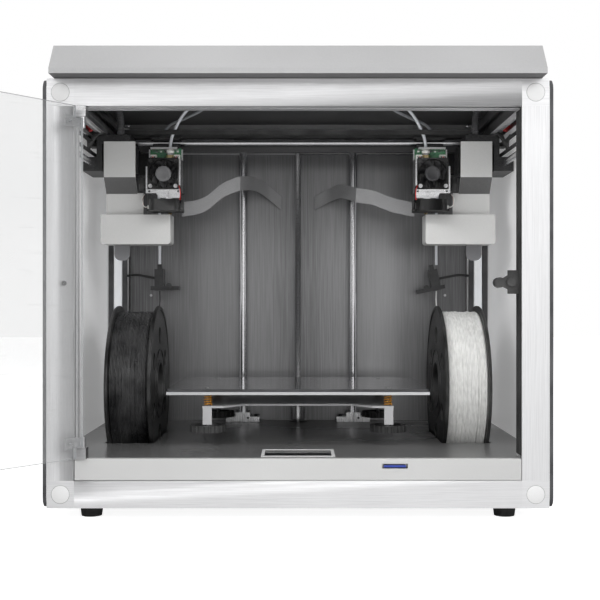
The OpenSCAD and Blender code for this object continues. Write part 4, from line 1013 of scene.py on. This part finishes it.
def build_screws():
    piece = Piece("cabinet_screws", "chrome", "black", slot="fittings_steel")
    lo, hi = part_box("side_panels")
    for way, x in ((-1, lo.x), (1, hi.x)):
        for y in (lo.y + 0.014, 0, hi.y - 0.014):
            for z in (lo.z + 0.014, hi.z - 0.014):
                piece.screw((x, y, z), X * way, 3.2, 0, 1.8)
    lo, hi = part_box("rear_panel")
    for x in (lo.x + 0.012, lo.x * 0.35, hi.x * 0.35, hi.x - 0.012):
        for z in (lo.z + 0.010, hi.z - 0.010):
            piece.screw((x, hi.y, z), Y, 2.8, 1, 1.6)
    for x in (-1, 1):
        for k in (-1, 1):
            piece.screw((x * 79 * MM + k * 18.5 * MM, 167 * MM, deck_top + 8 * MM), Z, 2.6, 1, 2.4)
        piece.screw((x * 79 * MM + 7.4 * MM, 157 * MM, deck_top + 6 * MM), -Y, 1.6, 1, 0.6)
    piece.done("cabinet")
    bed = Piece("bed_corner_screws", "steel", slot="fittings_steel")
    lo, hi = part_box("bed_glass")
    for x in (-109, 109):
        for y in (-84, 84):
            bed.lathe(Vector((x * MM, (lo.y + hi.y) / 2 + y * MM, hi.z)), Z,
                      [(0, -0.2), (3.3, -0.2), (3.3, 0.15), (2.6, 0.5), (1.4, 0.5, True), (1.3, 0.2, True),
                       (0, 0.2)], 0, 18)
    bed.done("bed")


def build_gantry_details():
    """Motor plugs with their wires, and screws on the gantry's end plates."""
    piece = Piece("gantry_wiring", "red_wire", "black", "white_plastic", "chrome", slot="cable_grey")
    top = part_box("gantry_frame")[1].z / MM
    for way in (-1, 1):
        for k in range(6):
            path = smooth([flip(way, p) for p in (
                (251 + 1.5 * k, -12, top - 1), (253 + 1.6 * k, -22 - k, top - 3 + k),
                (262 + 1.2 * k, -25 + k, top - 8 + k), (269 - 0.6 * k, -14, top - 3))], 6)
            piece.tube(path, 1.4, 0, up=(0.02, 0.03, 1), sides=8)
        for k in range(4):
            path = smooth([flip(way, p) for p in (
                (249 + 2 * k, -12, top - 4), (254 + 2 * k, -20 - k, top - 13 - 2 * k),
                (262 + k, -21 + k, top - 21 - 3 * k), (270 - k, -14, top - 12 - k))], 6)
            piece.tube(path, 1.7, 1, up=(0.02, 1, 0.03), sides=8)
        ends = sorted((way * 256 * MM, way * 266 * MM))
        piece.box((ends[0], -0.004, (top + 0.2) * MM), (ends[1], 0.010, (top + 6) * MM), 0, 0.8)
        for y in (-10, 52):
            piece.screw((way * 216 * MM, y * MM, (top - 0.2) * MM), Z, 2.4, 3, 1.8)
    piece.done("gantry")


build_screw()
for side in SIDES:
    build_winding(side)
    build_spool_rims(side)
build_guide_tubes()
build_strands()
build_ribbons()
build_sensor_cables()
build_sleeves()
build_belts()
build_springs()
build_fans()
build_extruder_details()
build_strip_shade()
build_seal()
build_corner_caps()
build_screws()
build_gantry_details()


# ---------- stage, lights and camera ----------

ROOM = 0.34                      # brightness of the room as the object sees it
LEFT_POWER, RIGHT_POWER, TOP_POWER = 12.5, 16.5, 9
CAMERA_GAP = 1.18                # from the frame's front to the camera
CAMERA_HEIGHT = 0.2256


def look_at(obj, target):
    obj.rotation_euler = (Vector(target) - obj.location).to_track_quat("-Z", "Y").to_euler()


def softbox(name, place, target, size, power):
    light = bpy.data.lights.new(name, "AREA")
    light.shape = "RECTANGLE"
    light.size, light.size_y = size
    light.energy = power
    obj = bpy.data.objects.new(name, light)
    bpy.context.scene.collection.objects.link(obj)
    obj.location = place
    look_at(obj, target)
    return obj


def build_stage():
    floor_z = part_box("feet")[0].z
    mesh = bpy.data.meshes.new("floor")
    reach = 6.0
    mesh.from_pydata([(-reach, -reach, floor_z), (reach, -reach, floor_z),
                      (reach, reach, floor_z), (-reach, reach, floor_z)], [], [(0, 1, 2, 3)])
    floor = bpy.data.objects.new("floor", mesh)
    bpy.context.scene.collection.objects.link(floor)
    look = Look("floor", (0.56, 0.56, 0.56), 0.7)
    look.tint(look.noise(1.5, (1, 1, 1), 2), (0.52, 0.52, 0.52), 0.4)
    look.set("Emission Color", (1, 1, 1, 1))
    seen = look.tree.nodes.new("ShaderNodeLightPath").outputs["Is Camera Ray"]
    glow = remap(look.tree, seen, to_min=0.02, to_max=0.9)
    look.link(glow, look.shader.inputs["Emission Strength"])
    mesh.materials.append(look.done())


def build_lights():
    world = bpy.data.worlds.new("studio")
    bpy.context.scene.world = world
    world.use_nodes = True
    tree = world.node_tree
    back = tree.nodes["Background"]
    back.inputs["Color"].default_value = (1, 1, 1, 1)
    seen = tree.nodes.new("ShaderNodeLightPath").outputs["Is Camera Ray"]
    tree.links.new(remap(tree, seen, to_min=ROOM, to_max=1.0), back.inputs["Strength"])
    centre = (0, 0, 0.25)
    softbox("left_box", (-1.5, -1.9, 1.35), centre, (1.0, 1.3), LEFT_POWER)
    softbox("right_box", (1.5, -1.9, 1.35), centre, (1.0, 1.3), RIGHT_POWER)
    softbox("top_box", (0, -0.6, 2.0), centre, (1.6, 1.0), TOP_POWER)
    softbox("high_box", (0, -2.3, 1.15), centre, (2.6, 0.4), 7)
    softbox("low_box", (0.3, -2.4, 0.3), centre, (1.2, 0.5), 2)
    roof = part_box("frame_profiles")[1].z - 0.045
    for side, way in SIDES.items():
        power = 0.48 if side == "left" else 0.9
        for place, target, size, share in (((0.06, -0.15, roof), (0.21, 0.06, 0.08), (0.2, 0.03), 0.25),
                                           ((0.10, -0.60, 0.24), (0.20, 0.0, 0.22), (0.3, 0.2), 0.45)):
            lamp = softbox(side + "_inside", flip(way, place), flip(way, target), size, power * share)
            lamp.visible_camera = False
            lamp.visible_glossy = False
    softbox("rear_box", (0.4, 2.2, 1.4), centre, (1.6, 1.0), 14)


def build_camera():
    """The camera looks level and straight at the front, a little below the cabinet's middle."""
    data = bpy.data.cameras.new("camera")
    data.sensor_width = 36
    data.lens = 64.75
    data.shift_x = data.shift_y = 0.0033
    camera = bpy.data.objects.new("camera", data)
    bpy.context.scene.collection.objects.link(camera)
    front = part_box("frame_profiles")[0].y
    camera.location = (0, front - CAMERA_GAP, CAMERA_HEIGHT)
    camera.rotation_euler = (math.pi / 2, 0, 0)
    bpy.context.scene.camera = camera
    bpy.context.scene.view_settings.view_transform = "Standard"


build_stage()
build_lights()
build_camera()
